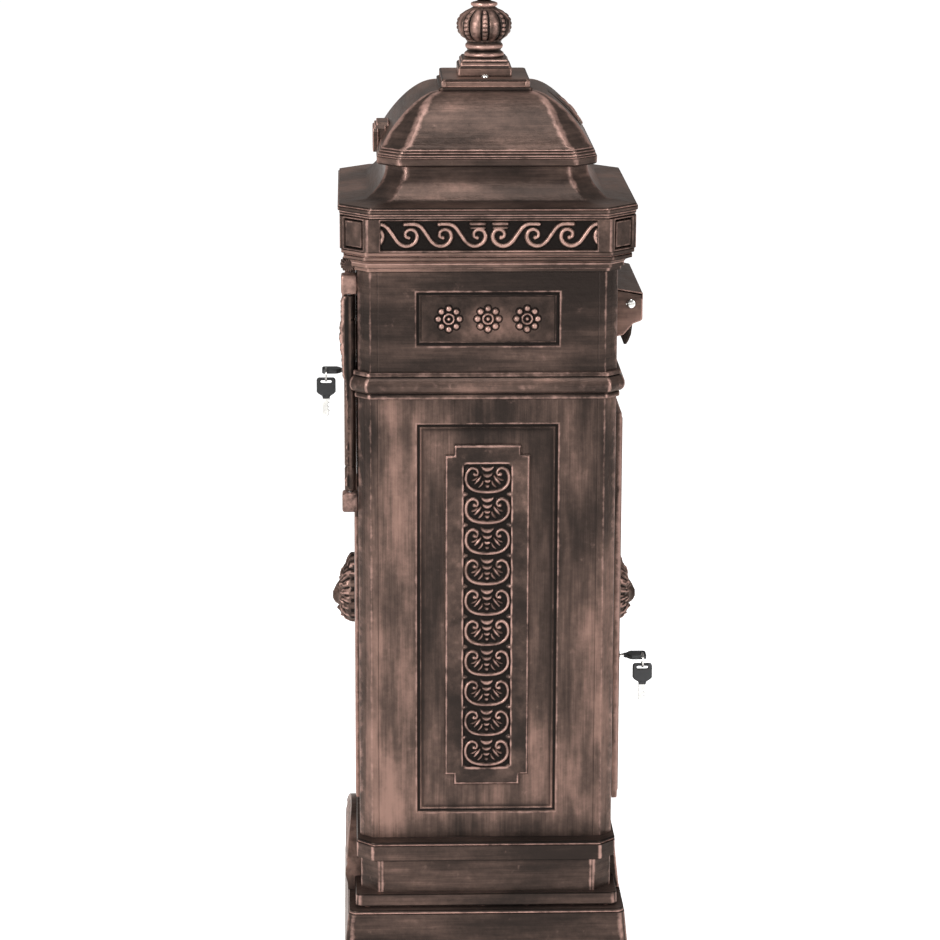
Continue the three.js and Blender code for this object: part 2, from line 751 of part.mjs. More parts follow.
// ---------- letter hood and flap ----------
function letterHood() {
  const x0 = shaftHalfX + gap;
  const x1 = shaftHalfX + hoodReach;
  const drop = 5;
  const roof = 3;
  const cheek = [
    point(x0, hoodTop), point(x1, hoodTop - drop), point(x1, hoodTop - 34), point(x1 - 10, hoodTop - 38),
    point(x0 + 8, hoodTop - hoodHeight + 2), point(x0, hoodTop - hoodHeight),
  ];
  const cover = [
    point(x0, hoodTop), point(x1, hoodTop - drop), point(x1, hoodTop - drop - 7),
    point(x1 - 2.5, hoodTop - drop - 7), point(x1 - 2.5, hoodTop - drop - roof), point(x0, hoodTop - roof),
  ];
  const w = hoodHalfWidth;
  const bore = flapPinRadius + pinFit;
  return cut(
    join(
      prism('Y', cover, -w, w),
      prism('Y', cheek, -w, -w + hoodWall),
      prism('Y', cheek, w - hoodWall, w),
    ),
    rod('Y', flapAxisX, flapAxisZ, bore, -w - 1, w + 1, 12),
  );
}

function letterFlap() {
  const w = hoodHalfWidth - hoodWall - 2;
  const t = flapThickness;
  const bottom = flapAxisZ - flapLength;
  const sheet = [
    point(flapAxisX - 1, flapAxisZ), point(flapAxisX + t - 1, flapAxisZ),
    point(flapAxisX + t, flapAxisZ - 22), point(flapAxisX - 1 + t, flapAxisZ - 36),
    point(flapAxisX - 6 + t, bottom), point(flapAxisX - 8, bottom), point(flapAxisX - 1, flapAxisZ - 35),
    point(flapAxisX, flapAxisZ - 22),
  ];
  const bore = flapPinRadius + pinFit;
  return cut(
    join(prism('Y', sheet, -w, w), rod('Y', flapAxisX, flapAxisZ, 4.6, -w, w, 14)),
    rod('Y', flapAxisX, flapAxisZ, bore, -w - 1, -w + pinDepth, 12),
    rod('Y', flapAxisX, flapAxisZ, bore, w - pinDepth, w + 1, 12),
  );
}

function flapScrew(sign) {
  const w = hoodHalfWidth;
  const shank = rod('Y', flapAxisX, flapAxisZ, flapPinRadius, sign * (w - 13), sign * (w + 1.5), 12);
  const head = rod('Y', flapAxisX, flapAxisZ, 4.7, sign * (w + gap), sign * (w + 2.6), 18);
  const slot = box(flapAxisX - 6, flapAxisX + 6, sign * (w + 1.6), sign * (w + 4),
    flapAxisZ - 0.6, flapAxisZ + 0.6);
  return cut(join(shank, head), slot);
}

function letterChute() {
  const x = innerX - gap;
  const z = slotBottom - 2;
  return prism('Y', [
    point(x, z), point(x, z - 22), point(x - 2, z - 22), point(x - 2, z - 4), point(x - 66, z - 54),
    point(x - 67.5, z - 52),
  ], -80, 80);
}

// ---------- doors ----------
// A leaf with its pivot barrel. side is the face it closes: 1 front, -1 rear; hand is the pivot's side.
function doorLeaf(side, hand, bottom, height, lockZ) {
  const top = bottom + height;
  const free = openingHalfWidth + leafOverlap;
  const axisX = side * pivotX;
  const axisY = hand * pivotOffset;
  const edges = [axisY, -hand * free].sort((a, b) => a - b);
  const leaf = prism('X', rectangle(...edges, bottom, top), side * leafInner, side * leafOuter);
  const barrel = rod('Z', axisX, axisY, barrelRadius, bottom, top, 20);
  const bore = pinRadius + pinFit;
  return cut(
    join(leaf, barrel),
    rod('Z', axisX, axisY, bore, bottom - 1, bottom + pinDepth, 12),
    rod('Z', axisX, axisY, bore, top - pinDepth, top + 1, 12),
    rod('X', -hand * lockOffset, lockZ, lockRadius + gap, side * (leafInner - 1), side * (leafOuter + 1), 24),
  );
}

function rearDoor() {
  return doorLeaf(-1, -1, rearDoorBottom, rearDoorHeight, rearLockZ);
}

function ellipse(cy, cz, halfY, halfZ, sides) {
  return circle(0, 0, 1, sides).map((p) => point(cy + halfY * p.x, cz + halfZ * p.y));
}

function rearDoorRelief() {
  const x = -leafOuter - gap;
  const z = rearDoorBottom;
  return join(
    prism('X', ellipse(0, z + 165, 60, 62, 28), x, x - 6.5),
    prism('X', ellipse(0, z + 160, 34, 46, 20), x, x - 10),
    prism('X', ellipse(0, z + 58, 36, 50, 20), x, x - 4.5),
  );
}

function frontDoor() {
  const x = leafOuter - 0.5;
  const z = frontDoorBottom;
  const keystone = [
    point(-30, z + 278), point(30, z + 278), point(52, z + 300), point(0, z + 326), point(-52, z + 300),
  ];
  const leaf = doorLeaf(1, 1, z, frontDoorHeight, frontLockZ);
  return join(
    leaf,
    prism('X', keystone, x, leafOuter + 6.5),
    prism('X', ellipse(0, z + 338, 14, 9, 16), x, leafOuter + 4),
    prism('X', rectangle(-60, 60, z + 254, z + 258), x, leafOuter + 2),
  );
}

// A block screwed to the shaft wall that holds one end of a door's pivot pin; open says where its bore is.
function hingeBlock(side, hand, z0, z1, open) {
  const axisX = side * pivotX;
  const axisY = hand * pivotOffset;
  const half = hingeBlockWidth / 2;
  const wallX = side * (shaftHalfX + gap);
  const block = box(wallX, side * (shaftHalfX + hingeBlockProud), axisY - half, axisY + half, z0, z1);
  const depth = pinDepth > z1 - z0 - 3 ? z1 - z0 - 3 : pinDepth;
  const bore = pinRadius + pinFit;
  const from = open === 'below' ? z0 - 1 : z1 - depth;
  const to = open === 'below' ? z0 + depth : z1 + 1;
  return cut(block, rod('Z', axisX, axisY, bore, from, to, 12));
}

function addPivot(prefix, side, hand, bottom, height) {
  const top = bottom + height;
  const lift = leafGap;
  const axisX = side * pivotX;
  const axisY = hand * pivotOffset;
  const ceiling = (side > 0 ? waistZ : entablatureZ) - gap;
  const topBlock = [top + lift, Math.min(top + lift + hingeBlockHeight, ceiling)];
  const bottomBlock = [bottom - lift - hingeBlockHeight, bottom - lift];
  add(`${prefix}_hinge_block_top`, hingeBlock(side, hand, ...topBlock, 'below'), copperLight);
  add(`${prefix}_hinge_block_bottom`, hingeBlock(side, hand, ...bottomBlock, 'above'), copperLight);
  const reach = pinDepth - 0.5;
  const topPin = rod('Z', axisX, axisY, pinRadius, top - reach, top + lift + reach, 12);
  const bottomPin = rod('Z', axisX, axisY, pinRadius, bottom - lift - reach, bottom + reach, 12);
  add(`${prefix}_hinge_pin_top`, topPin, steel);
  add(`${prefix}_hinge_pin_bottom`, bottomPin, steel);
}

function rearLowerPlate() {
  const x = -shaftHalfX - gap;
  const w = openingHalfWidth + 3;
  const z = frontDoorBottom;
  const height = rearDoorBottom - rearPlateTopGap - z;
  const plate = prism('X', rectangle(-w, w, z, z + height), x, x - rearPlateThickness);
  const recess = box(x - rearPlateThickness + 1.5, x - 20, -w + 12, w - 12, z + 12, z + height - 12);
  return cut(plate, recess);
}

// A lion's head boss: half of a flattened ball with a muzzle.
function lionMask(side, faceX) {
  const z = shaftZ + lionRise;
  const halfBall = (cx, cz, rx, ry, rz) => {
    const ball = new THREE.SphereGeometry(1, 16, 12);
    return ball.scale(rx, ry, rz).translate(side * cx, 0, cz);
  };
  const back = faceX + gap;
  const behind = box(side * (back - 40), side * back, -60, 60, z - 60, z + 60);
  const head = join(halfBall(back - 2, z, 15, 27, 31), halfBall(back + 6, z - 8, 13, 13, 11));
  return cut(head, behind);
}

// ---------- locks ----------
// Cam lock, key, split ring and hanging spare key on the face given by side, at (y, z).
// The ring hangs on the near side bar of the key's bow; the cam points at camAngle while unlocked.
function addLock(prefix, side, y, z, camAngle) {
  const inner = innerX + 1;
  const flangeX = leafOuter + gap;
  const faceX = flangeX + flangeThick;
  const body = join(
    rod('X', y, z, lockRadius, side * inner, side * (flangeX + 1), 24),
    rod('X', y, z, lockRadius + flangeRim, side * flangeX, side * faceX, 24),
  );
  const bore = rod('X', y, z, plugRadius + gap, side * (inner - 1), side * (faceX + 1), 24);
  add(`${prefix}_lock_body`, cut(body, bore), nickel);

  const bowStart = faceX + keyNeck;
  const plug = join(
    rod('X', y, z, plugRadius, side * (inner - 1), side * (faceX + 0.6), 24),
    rod('X', y, z, plugTailRadius, side * (inner - 7), side * inner, 16),
  );
  const keyway = box(side * (bowStart - bladeLength - 1), side * (faceX + 2), y - bladeWidth / 2 - gap,
    y + bladeWidth / 2 + gap, z - bladeThickness / 2 - gap, z + bladeThickness / 2 + gap);
  add(`${prefix}_lock_plug`, cut(plug, keyway), nickel);

  const camX = inner - 1.4;
  const dir = point(Math.cos(camAngle), Math.sin(camAngle));
  const across = point(-dir.y, dir.x);
  const half = 7;
  const at = (along, offset) =>
    point(y + along * dir.x + offset * across.x, z + along * dir.y + offset * across.y);
  const camOutline = [];
  for (let i = 0; i <= 8; i++) {
    const angle = Math.PI / 2 + (Math.PI * i) / 8;
    camOutline.push(at(half * Math.cos(angle), half * Math.sin(angle)));
  }
  camOutline.push(at(camReach - 2, -half), at(camReach, 2 - half));
  camOutline.push(at(camReach, half - 2), at(camReach - 2, half));
  add(`${prefix}_lock_cam`, prism('X', camOutline, side * camX, side * (camX - camThickness),
    [circle(y, z, plugTailRadius + gap, 16)]), steel);

  // the bow lies flat, its slot across the key
  const bowEnd = bowStart + bowLength;
  const hw = bowWidth / 2;
  const corner = 3;
  const bowOutline = [
    point(side * bowStart, y - hw + corner), point(side * (bowStart + corner), y - hw),
    point(side * (bowEnd - corner), y - hw), point(side * bowEnd, y - hw + corner),
    point(side * bowEnd, y + hw - corner), point(side * (bowEnd - corner), y + hw),
    point(side * (bowStart + corner), y + hw), point(side * bowStart, y + hw - corner),
  ];
  const slotStart = bowEnd - bowBar - bowSlot;
  const sw = bowSlotWidth / 2;
  const slot = rectangle(side * slotStart, side * (slotStart + bowSlot), y - sw, y + sw);
  const bladeHalf = bladeWidth / 2;
  const bladeFlat = bladeThickness / 2;
  const blade = box(side * (bowStart - bladeLength), side * (bowStart + 1), y - bladeHalf, y + bladeHalf,
    z - bladeFlat, z + bladeFlat);
  const bow = prism('Z', bowOutline, z - bowThickness / 2, z + bowThickness / 2, [slot]);
  add(`${prefix}_key`, join(bow, blade), plastic);

  // the ring encloses the side bar of the bow and stands square to the key
  const ringX = side * (slotStart + bowSlot / 2);
  const barY = y - (sw + hw) / 2;
  const ringZ = z - ringHang;
  const torus = new THREE.TorusGeometry(ringRadius, ringWire, 6, 24).rotateY(Math.PI / 2);
  add(`${prefix}_key_ring`, torus.translate(ringX, barY, ringZ), nickel);

  // the spare key hangs from the ring by its top bar, facing sideways
  const barTop = ringZ - Math.sqrt((ringRadius - ringWire) ** 2 - (bowThickness / 2) ** 2) + gap + bowBar;
  const w = bowWidth / 2 + 0.5;
  const bowBottom = barTop - bowLength + 0.5;
  const spareOutline = [
    point(ringX - w + corner, bowBottom), point(ringX + w - corner, bowBottom),
    point(ringX + w, bowBottom + corner), point(ringX + w, barTop - corner),
    point(ringX + w - corner, barTop), point(ringX - w + corner, barTop),
    point(ringX - w, barTop - corner), point(ringX - w, bowBottom + corner),
  ];
  const spareSlot = rectangle(ringX - sw, ringX + sw, barTop - bowBar - bowSlot, barTop - bowBar);
  const spareBow = prism('Y', spareOutline, barY - bowThickness / 2, barY + bowThickness / 2, [spareSlot]);
  const spareBlade = box(ringX - bladeHalf, ringX + bladeHalf, barY - bladeFlat, barY + bladeFlat,
    bowBottom - bladeLength, bowBottom + 1);
  add(`${prefix}_spare_key`, join(spareBow, spareBlade), plastic);
}

// ---------- rods ----------
function tieRod(sx, sy) {
  const x = sx * rodOffset;
  const y = sy * rodOffset;
  const seat = entablatureZ + flangeThickness + gap;
  const hexagon = rod('Z', x, y, 7.5, seat, seat + 6, 6);
  return join(rod('Z', x, y, rodRadius, 1, seat + 1, 12), hexagon);
}

// ---------- assembly ----------
add('base_plate', basePlate(), steel);
add('base_block', baseBlock(), copper);
add('plinth', plinth(), copper);
add('collar', collar(), copper);
add('rear_foot_ornament', rearFootOrnament(), copper);
add('compartment_floor', compartmentFloor(), steel);
for (const side of ['left', 'right']) {
  add(`${side}_wall`, sideWall(side), copper);
  add(`${side}_plaque`, plaque(side), copperLight);
  add(`${side}_rosette_panel`, rosettePanel(side), copperLight);
}
add('front_wall', frontWall(), copper);
add('rear_wall', rearWall(), copper);
add('waist_moulding', waistMoulding(), copperLight);
add('entablature', entablature(), copper);
add('frieze', frieze(), copper);
add('cornice_roof', corniceRoof(), copper);
add('dome', dome(), copper);
add('dome_cap', domeCap(), copper);
add('dome_crest', domeCrest(), copperLight);
add('dome_tablet', domeTablet(), copper);
add('finial_plinth', finialPlinth(), copper);
add('finial_crown', finialCrown(), copper);
add('finial_screw', finialScrew(), nickel);
add('letter_hood', letterHood(), copper);
add('letter_flap', letterFlap(), copper);
add('flap_screw_left', flapScrew(-1), nickel);
add('flap_screw_right', flapScrew(1), nickel);
add('letter_chute', letterChute(), steel);
add('rear_door', rearDoor(), copper);
add('rear_door_relief', rearDoorRelief(), copperLight);
addPivot('rear', -1, -1, rearDoorBottom, rearDoorHeight);
add('rear_lower_plate', rearLowerPlate(), copper);
add('rear_lion_mask', lionMask(-1, shaftHalfX + gap + rearPlateThickness - 1.5), copperLight);
add('front_door', frontDoor(), copper);
add('front_lion_mask', lionMask(1, leafOuter), copperLight);
addPivot('front', 1, 1, frontDoorBottom, frontDoorHeight);
addLock('rear', -1, lockOffset, rearLockZ, -Math.PI / 2);
addLock('front', 1, -lockOffset, frontLockZ, Math.PI / 2);
rodCorners.forEach(([sx, sy], i) => add(`tie_rod_${i + 1}`, tieRod(sx, sy), steel));

export default mailbox;
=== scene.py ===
import bpy
import math
import numpy as np
from mathutils import Matrix, Vector, geometry


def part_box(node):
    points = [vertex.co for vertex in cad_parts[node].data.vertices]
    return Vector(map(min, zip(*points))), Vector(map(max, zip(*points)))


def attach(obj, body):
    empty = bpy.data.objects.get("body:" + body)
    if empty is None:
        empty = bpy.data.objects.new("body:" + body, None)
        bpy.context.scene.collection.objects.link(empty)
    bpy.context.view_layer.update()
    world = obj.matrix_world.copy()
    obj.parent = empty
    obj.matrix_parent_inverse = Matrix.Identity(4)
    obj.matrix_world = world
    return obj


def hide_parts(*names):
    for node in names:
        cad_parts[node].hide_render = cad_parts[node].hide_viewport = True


# Antique copper pillar mailbox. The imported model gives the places; the castings, ornament
# and finishes are made here. Sizes in the dictionaries are millimetres unless a note says so.
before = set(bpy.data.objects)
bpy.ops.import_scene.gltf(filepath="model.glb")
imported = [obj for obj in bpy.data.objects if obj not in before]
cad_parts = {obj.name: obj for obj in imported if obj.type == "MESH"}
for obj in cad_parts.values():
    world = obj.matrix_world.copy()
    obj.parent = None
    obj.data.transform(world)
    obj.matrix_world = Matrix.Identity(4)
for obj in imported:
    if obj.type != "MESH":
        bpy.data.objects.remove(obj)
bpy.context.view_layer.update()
mm = 0.001
halfPi = math.pi / 2


# small maths used by all the pieces
def smooth(x, low, high):
    # eases from 0 at low to 1 at high
    t = np.clip((x - low) / (high - low), 0, 1)
    return t * t * (3 - 2 * t)


def average(values, reach, axis):
    # mean over reach samples on each side, from a running total
    reach = max(1, int(round(reach)))
    padding = [(0, 0)] * values.ndim
    padding[axis] = (reach + 1, reach)
    total = np.cumsum(np.pad(values, padding, mode="edge"), axis=axis)
    size = values.shape[axis]
    high = np.take(total, np.arange(2 * reach + 1, 2 * reach + 1 + size), axis=axis)
    low = np.take(total, np.arange(0, size), axis=axis)
    return (high - low) / (2 * reach + 1)


def standProud(height, samples, sharpness):
    # how far the height stands above its neighbourhood, -1 in a hollow to 1 on a ridge
    near = average(average(height, samples, 0), samples, 1)
    return np.clip((height - near) / sharpness, -1, 1)


def spaced(stops, step):
    # samples between the stops about one step apart, each stop kept
    runs = [np.linspace(a, b, max(2, int(round((b - a) / step)) + 1))[:-1] for a, b in zip(stops[:-1], stops[1:])]
    return np.append(np.concatenate(runs), stops[-1])


def graded(low, high, features, fine, reach, coarse):
    # fine samples within reach of each feature and coarse ones elsewhere
    marks = {low, high}
    for f in features:
        marks.update(np.clip(np.arange(f - reach, f + reach + fine / 2, fine), low, high))
    marks = np.array(sorted(marks))
    marks = marks[np.append(True, np.diff(marks) > fine * 0.4)]
    marks[-1] = high
    return spaced(list(marks), coarse)


def toPath(x, z, path):
    # distance from every point to a line of straight pieces, and how far along it that is (0 to 1)
    path = np.asarray(path, float)
    best = np.full(x.shape, 1e9)
    along = np.zeros(x.shape)
    lengths = np.hypot(*np.diff(path, axis=0).T)
    start = np.concatenate([[0], np.cumsum(lengths)]) / lengths.sum()
    for i, (a, b) in enumerate(zip(path[:-1], path[1:])):
        d = b - a
        t = np.clip(((x - a[0]) * d[0] + (z - a[1]) * d[1]) / (d @ d), 0, 1)
        distance = np.hypot(x - a[0] - t * d[0], z - a[1] - t * d[1])
        nearer = distance < best
        best = np.where(nearer, distance, best)
        along = np.where(nearer, start[i] + t * (start[i + 1] - start[i]), along)
    return best, along


def curveThrough(points, between=6):
    # smooth line through the points (each piece a cubic set by its neighbours)
    p = np.asarray(points, float)
    p = np.vstack([2 * p[0] - p[1], p, 2 * p[-1] - p[-2]])
    t = np.linspace(0, 1, between, endpoint=False)[:, None]
    runs = []
    for a, b, c, d in zip(p[:-3], p[1:-2], p[2:-1], p[3:]):
        runs.append(b + 0.5 * t * (c - a + t * (2 * a - 5 * b + 4 * c - d + t * (3 * (b - c) + d - a))))
    return np.vstack(runs + [p[-2][None]])


def roundBar(distance, width, height):
    # section of a half-round bar of that width
    return height * np.sqrt(np.clip(1 - (2 * distance / width) ** 2, 0, 1))


def bump(x, z, cx, cz, rx, rz, height):
    # a raised oval bead
    return height * np.sqrt(np.clip(1 - ((x - cx) / rx) ** 2 - ((z - cz) / rz) ** 2, 0, 1))


# surfaces: points (n, 3) in mm, faces and wear with painted shade (-1 dark hollow: patina, and painted shade where a
# piece asks for it; 0 plain; 1 rubbed edge)
def gridSurface(points, wearAndShade, closeRows=False, closeColumns=False, capFirst=False, capLast=False):
    # a grid of points with a quad between each two rows and columns
    rows, columns = points.shape[:2]
    index = np.arange(rows * columns).reshape(rows, columns)
    if closeRows:
        index = np.vstack([index, index[:1]])
    if closeColumns:
        index = np.hstack([index, index[:, :1]])
    quads = np.stack([index[:-1, :-1], index[1:, :-1], index[1:, 1:], index[:-1, 1:]], -1).reshape(-1, 4)
    flat = points.reshape(-1, 3)
    wearAndShade = np.broadcast_to(wearAndShade, (rows, columns)).reshape(-1)
    tris = []
    for wanted, column, order in ((capFirst, 0, 1), (capLast, -1, -1)):
        if wanted:
            ring = index[:, column]
            middle = len(flat)
            flat = np.vstack([flat, points[:, column].mean(0)])
            wearAndShade = np.append(wearAndShade, 0)
            ends = (ring[1:], ring[:-1]) if order == 1 else (ring[:-1], ring[1:])
            tris.append(np.stack([np.full(len(ring) - 1, middle), *ends], -1))
    tris = np.vstack(tris) if tris else np.zeros((0, 3), int)
    return facingOut({"points": flat, "quads": quads, "tris": tris, "wearAndShade": wearAndShade})


def facingOut(surface):
    # turns a closed surface so that its volume counts as positive
    p = surface["points"]
    q, t = surface["quads"], surface["tris"]
    three = np.vstack([q[:, [0, 1, 2]], q[:, [0, 2, 3]], t])
    volume = np.einsum("ij,ij->", p[three[:, 0]], np.cross(p[three[:, 1]], p[three[:, 2]]))
    if volume < 0:
        surface["quads"] = q[:, ::-1]
        surface["tris"] = t[:, ::-1]
    return surface


def makePiece(name, surfaces, materials, body, nodes=(), sharpAngle=38):
    # puts surfaces into one mesh in metres; each surface takes the material that its paint entry numbers, else the
    # first
    materials = materials if isinstance(materials, list) else [materials]
    points = np.vstack([s["points"] for s in surfaces]) * mm
    starts = np.cumsum([0] + [len(s["points"]) for s in surfaces])
    faces, slots = [], []
    for i, s in enumerate(surfaces):
        for kind in ("quads", "tris"):
            faces += (s[kind] + starts[i]).tolist()
            slots += [min(s.get("paint", 0), len(materials) - 1)] * len(s[kind])
    mesh = bpy.data.meshes.new(name)
    mesh.from_pydata(points.tolist(), [], faces)
    for kind in ("wearAndShade", "tone"):
        values = [s.get(kind, np.zeros(len(s["points"]))) for s in surfaces]
        mesh.attributes.new(kind, "FLOAT", "POINT").data.foreach_set("value", np.concatenate(values).astype(np.float32))
    for material in materials:
        mesh.materials.append(material)
    mesh.polygons.foreach_set("material_index", slots)
    mesh.polygons.foreach_set("use_smooth", [True] * len(faces))
    mesh.set_sharp_from_angle(angle=math.radians(sharpAngle))
    mesh.update()
    piece = bpy.data.objects.new(name, mesh)
    bpy.context.scene.collection.objects.link(piece)
    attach(piece, body)
    if nodes:
        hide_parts(*nodes)
    return piece


def softProfile(rows, radius=0.8, fade=1.6):
    # rows are (z, half x, half y, corner cut); each outline corner is rounded and given wear
    rows = np.array(rows, float)
    out = [np.append(rows[0], 0)]
    for before, here, after in zip(rows[:-2], rows[1:-1], rows[2:]):
        a, b = here[:2] - before[:2], after[:2] - here[:2]
        la, lb = np.hypot(*a), np.hypot(*b)
        turn = (a[1] * b[0] - a[0] * b[1]) / (la * lb)
        if abs(turn) < 0.2:
            out.append(np.append(here, 0))
            continue
        ra, rb = min(radius, 0.4 * la), min(radius, 0.4 * lb)
        edge = -np.sign(turn)
        first, last = here + (before - here) * ra / la, here + (after - here) * rb / lb
        if la > 2.4 * fade:
            out.append(np.append(here + (before - here) * fade / la, 0))
        out.append(np.append(first, edge * 0.55))
        out.append(np.append(0.25 * first + 0.5 * here + 0.25 * last, edge * 0.75))
        out.append(np.append(last, edge * 0.55))
        if lb > 2.4 * fade:
            out.append(np.append(here + (after - here) * fade / lb, 0))
    out.append(np.append(rows[-1], 0))
    return np.array(out)


def castRings(profile, cornerRadius=1.2, cornerFade=2.6, cornerWear=0.7, ledgeFade=True):
    # eight-sided rings up a profile: each of the eight corners is a small curve of seven points;
    # corner wear fades where the profile runs level, as on a ledge
    z, hx, hy, cut, edge = np.asarray(profile, float).T
    corners = np.array([
        [hx, cut - hy], [hx, hy - cut], [hx - cut, hy], [cut - hx, hy],
        [-hx, hy - cut], [-hx, cut - hy], [cut - hx, -hy], [hx - cut, -hy]]).transpose(0, 2, 1)
    back = np.roll(corners, 1, 0) - corners
    on = np.roll(corners, -1, 0) - corners
    backLength = np.linalg.norm(back, axis=-1, keepdims=True) + 1e-9
    onLength = np.linalg.norm(on, axis=-1, keepdims=True) + 1e-9
    r1, r2 = np.minimum(cornerRadius, 0.3 * backLength), np.minimum(cornerRadius, 0.3 * onLength)
    f1, f2 = np.minimum(cornerFade, 0.45 * backLength), np.minimum(cornerFade, 0.45 * onLength)
    start, end = corners + back / backLength * r1, corners + on / onLength * r2
    bend = [(1 - t) ** 2 * start + 2 * t * (1 - t) * corners + t * t * end for t in (0.25, 0.5, 0.75)]
    rows = [corners + back / backLength * f1, start, *bend, end, corners + on / onLength * f2]
    plan = np.stack(rows, 1).reshape(56, len(z), 2)
    points = np.dstack([plan, np.broadcast_to(z, (56, len(z)))])
    rise, run = abs(np.gradient(z)), abs(np.gradient(hx))
    upright = smooth(rise / (rise + run + 1e-6), 0.25, 0.6) if ledgeFade else 1.0
    corner = np.tile([0, 0.75, 1, 1, 1, 0.75, 0], 8)[:, None] * cornerWear * upright
    wearAndShade = np.where(edge < 0, corner + edge, np.maximum(corner, edge))
    return points, np.clip(wearAndShade, -1, 1)


def casting(rows, radius=0.8, fade=1.6, **corner):
    # a closed eight-sided casting from a stepped profile
    points, wearAndShade = castRings(softProfile(rows, radius, fade), **corner)
    return gridSurface(points, wearAndShade, closeRows=True, capFirst=True, capLast=True)


def slab(a, b, front, back, keep=None, wearAndShade=None, tone=None):
    # a plate over a grid of a (across) and b (up): front and back heights, with cells where keep is
    # false left out and a wall round every edge; place() then sets it in the object
    na, nb = len(a), len(b)
    A, B = np.meshgrid(a, b, indexing="ij")
    top = np.stack([A, B, np.broadcast_to(front, A.shape)], -1).reshape(-1, 3)
    low = np.stack([A, B, np.broadcast_to(back, A.shape)], -1).reshape(-1, 3)
    kept = np.ones((na - 1, nb - 1), bool) if keep is None else keep
    index = np.arange(na * nb).reshape(na, nb)
    c = [index[:-1, :-1], index[1:, :-1], index[1:, 1:], index[:-1, 1:]]
    shift = na * nb
    quads = [np.stack([k[kept] for k in c], -1), np.stack([k[kept] + shift for k in c[::-1]], -1)]
    rim = np.pad(kept, 1)
    inner = rim[1:-1, 1:-1]
    sides = (((c[1], c[0]), rim[1:-1, :-2]), ((c[2], c[1]), rim[2:, 1:-1]), ((c[3], c[2]), rim[1:-1, 2:]), ((c[0], c[3]), rim[:-2, 1:-1]))
    for (p, q), neighbour in sides:
        open_ = inner & ~neighbour
        quads.append(np.stack([p[open_], q[open_], q[open_] + shift, p[open_] + shift], -1))
    quads = np.vstack(quads)
    used = np.zeros(2 * shift, bool)
    used[quads] = True
    renumber = np.cumsum(used) - 1
    paint = [np.concatenate([np.broadcast_to(0.0 if v is None else v, A.shape).ravel(), np.zeros(shift)])[used] for v in (wearAndShade, tone)]
    return facingOut({"points": np.vstack([top, low])[used], "quads": renumber[quads], "tris": np.zeros((0, 3), int), "wearAndShade": paint[0], "tone": paint[1]})


def place(surface, origin, across, up, out):
    # sets a surface made in (across, up, out) into the object
    surface["points"] = np.asarray(origin, float) + surface["points"] @ np.array([across, up, out], float)
    return facingOut(surface)


def turned(profile, centre, axis, sides=48, ripple=None):
    # a turned piece: profile rows are (radius, height along the axis, wear)
    r, h, w = np.array(profile, float).T
    angle = np.linspace(0, 2 * math.pi, sides, endpoint=False)[:, None]
    radius = np.broadcast_to(r, (sides, len(r))).copy()
    wearAndShade = np.broadcast_to(w, radius.shape).copy()
    if ripple:
        radius, wearAndShade = ripple(angle, h[None], radius, wearAndShade)
    u, v = {"X": ((0, 1, 0), (0, 0, 1)), "Y": ((0, 0, 1), (1, 0, 0)), "Z": ((1, 0, 0), (0, 1, 0))}[axis]
    points = np.asarray(centre, float) + (radius * np.cos(angle))[..., None] * np.array(u) + (radius * np.sin(angle))[..., None] * np.array(v)
    points = points + np.broadcast_to(h, radius.shape)[..., None] * np.cross(u, v)
    return gridSurface(points, wearAndShade, closeRows=True, capFirst=True, capLast=True)


def tube(path, radius, sides=8, closed=False):
    # a round wire carried along a path: each ring stands square to the path
    p = np.asarray(path, float)
    tangent = np.roll(p, -1, 0) - np.roll(p, 1, 0) if closed else np.gradient(p, axis=0)
    tangent /= np.linalg.norm(tangent, axis=1, keepdims=True)
    helper = np.array([1.0, 0, 0]) if abs(tangent[:, 0]).max() < 0.95 else np.array([0.0, 0, 1])
    side = np.cross(tangent, helper)
    side /= np.linalg.norm(side, axis=1, keepdims=True)
    lift = np.cross(side, tangent)
    angle = np.linspace(0, 2 * math.pi, sides, endpoint=False)[:, None, None]
    radius = np.broadcast_to(radius, len(p))[None, :, None]
    points = p[None] + radius * (np.cos(angle) * side[None] + np.sin(angle) * lift[None])
    return gridSurface(points, 0.0, closeRows=True, closeColumns=closed, capFirst=not closed, capLast=not closed)


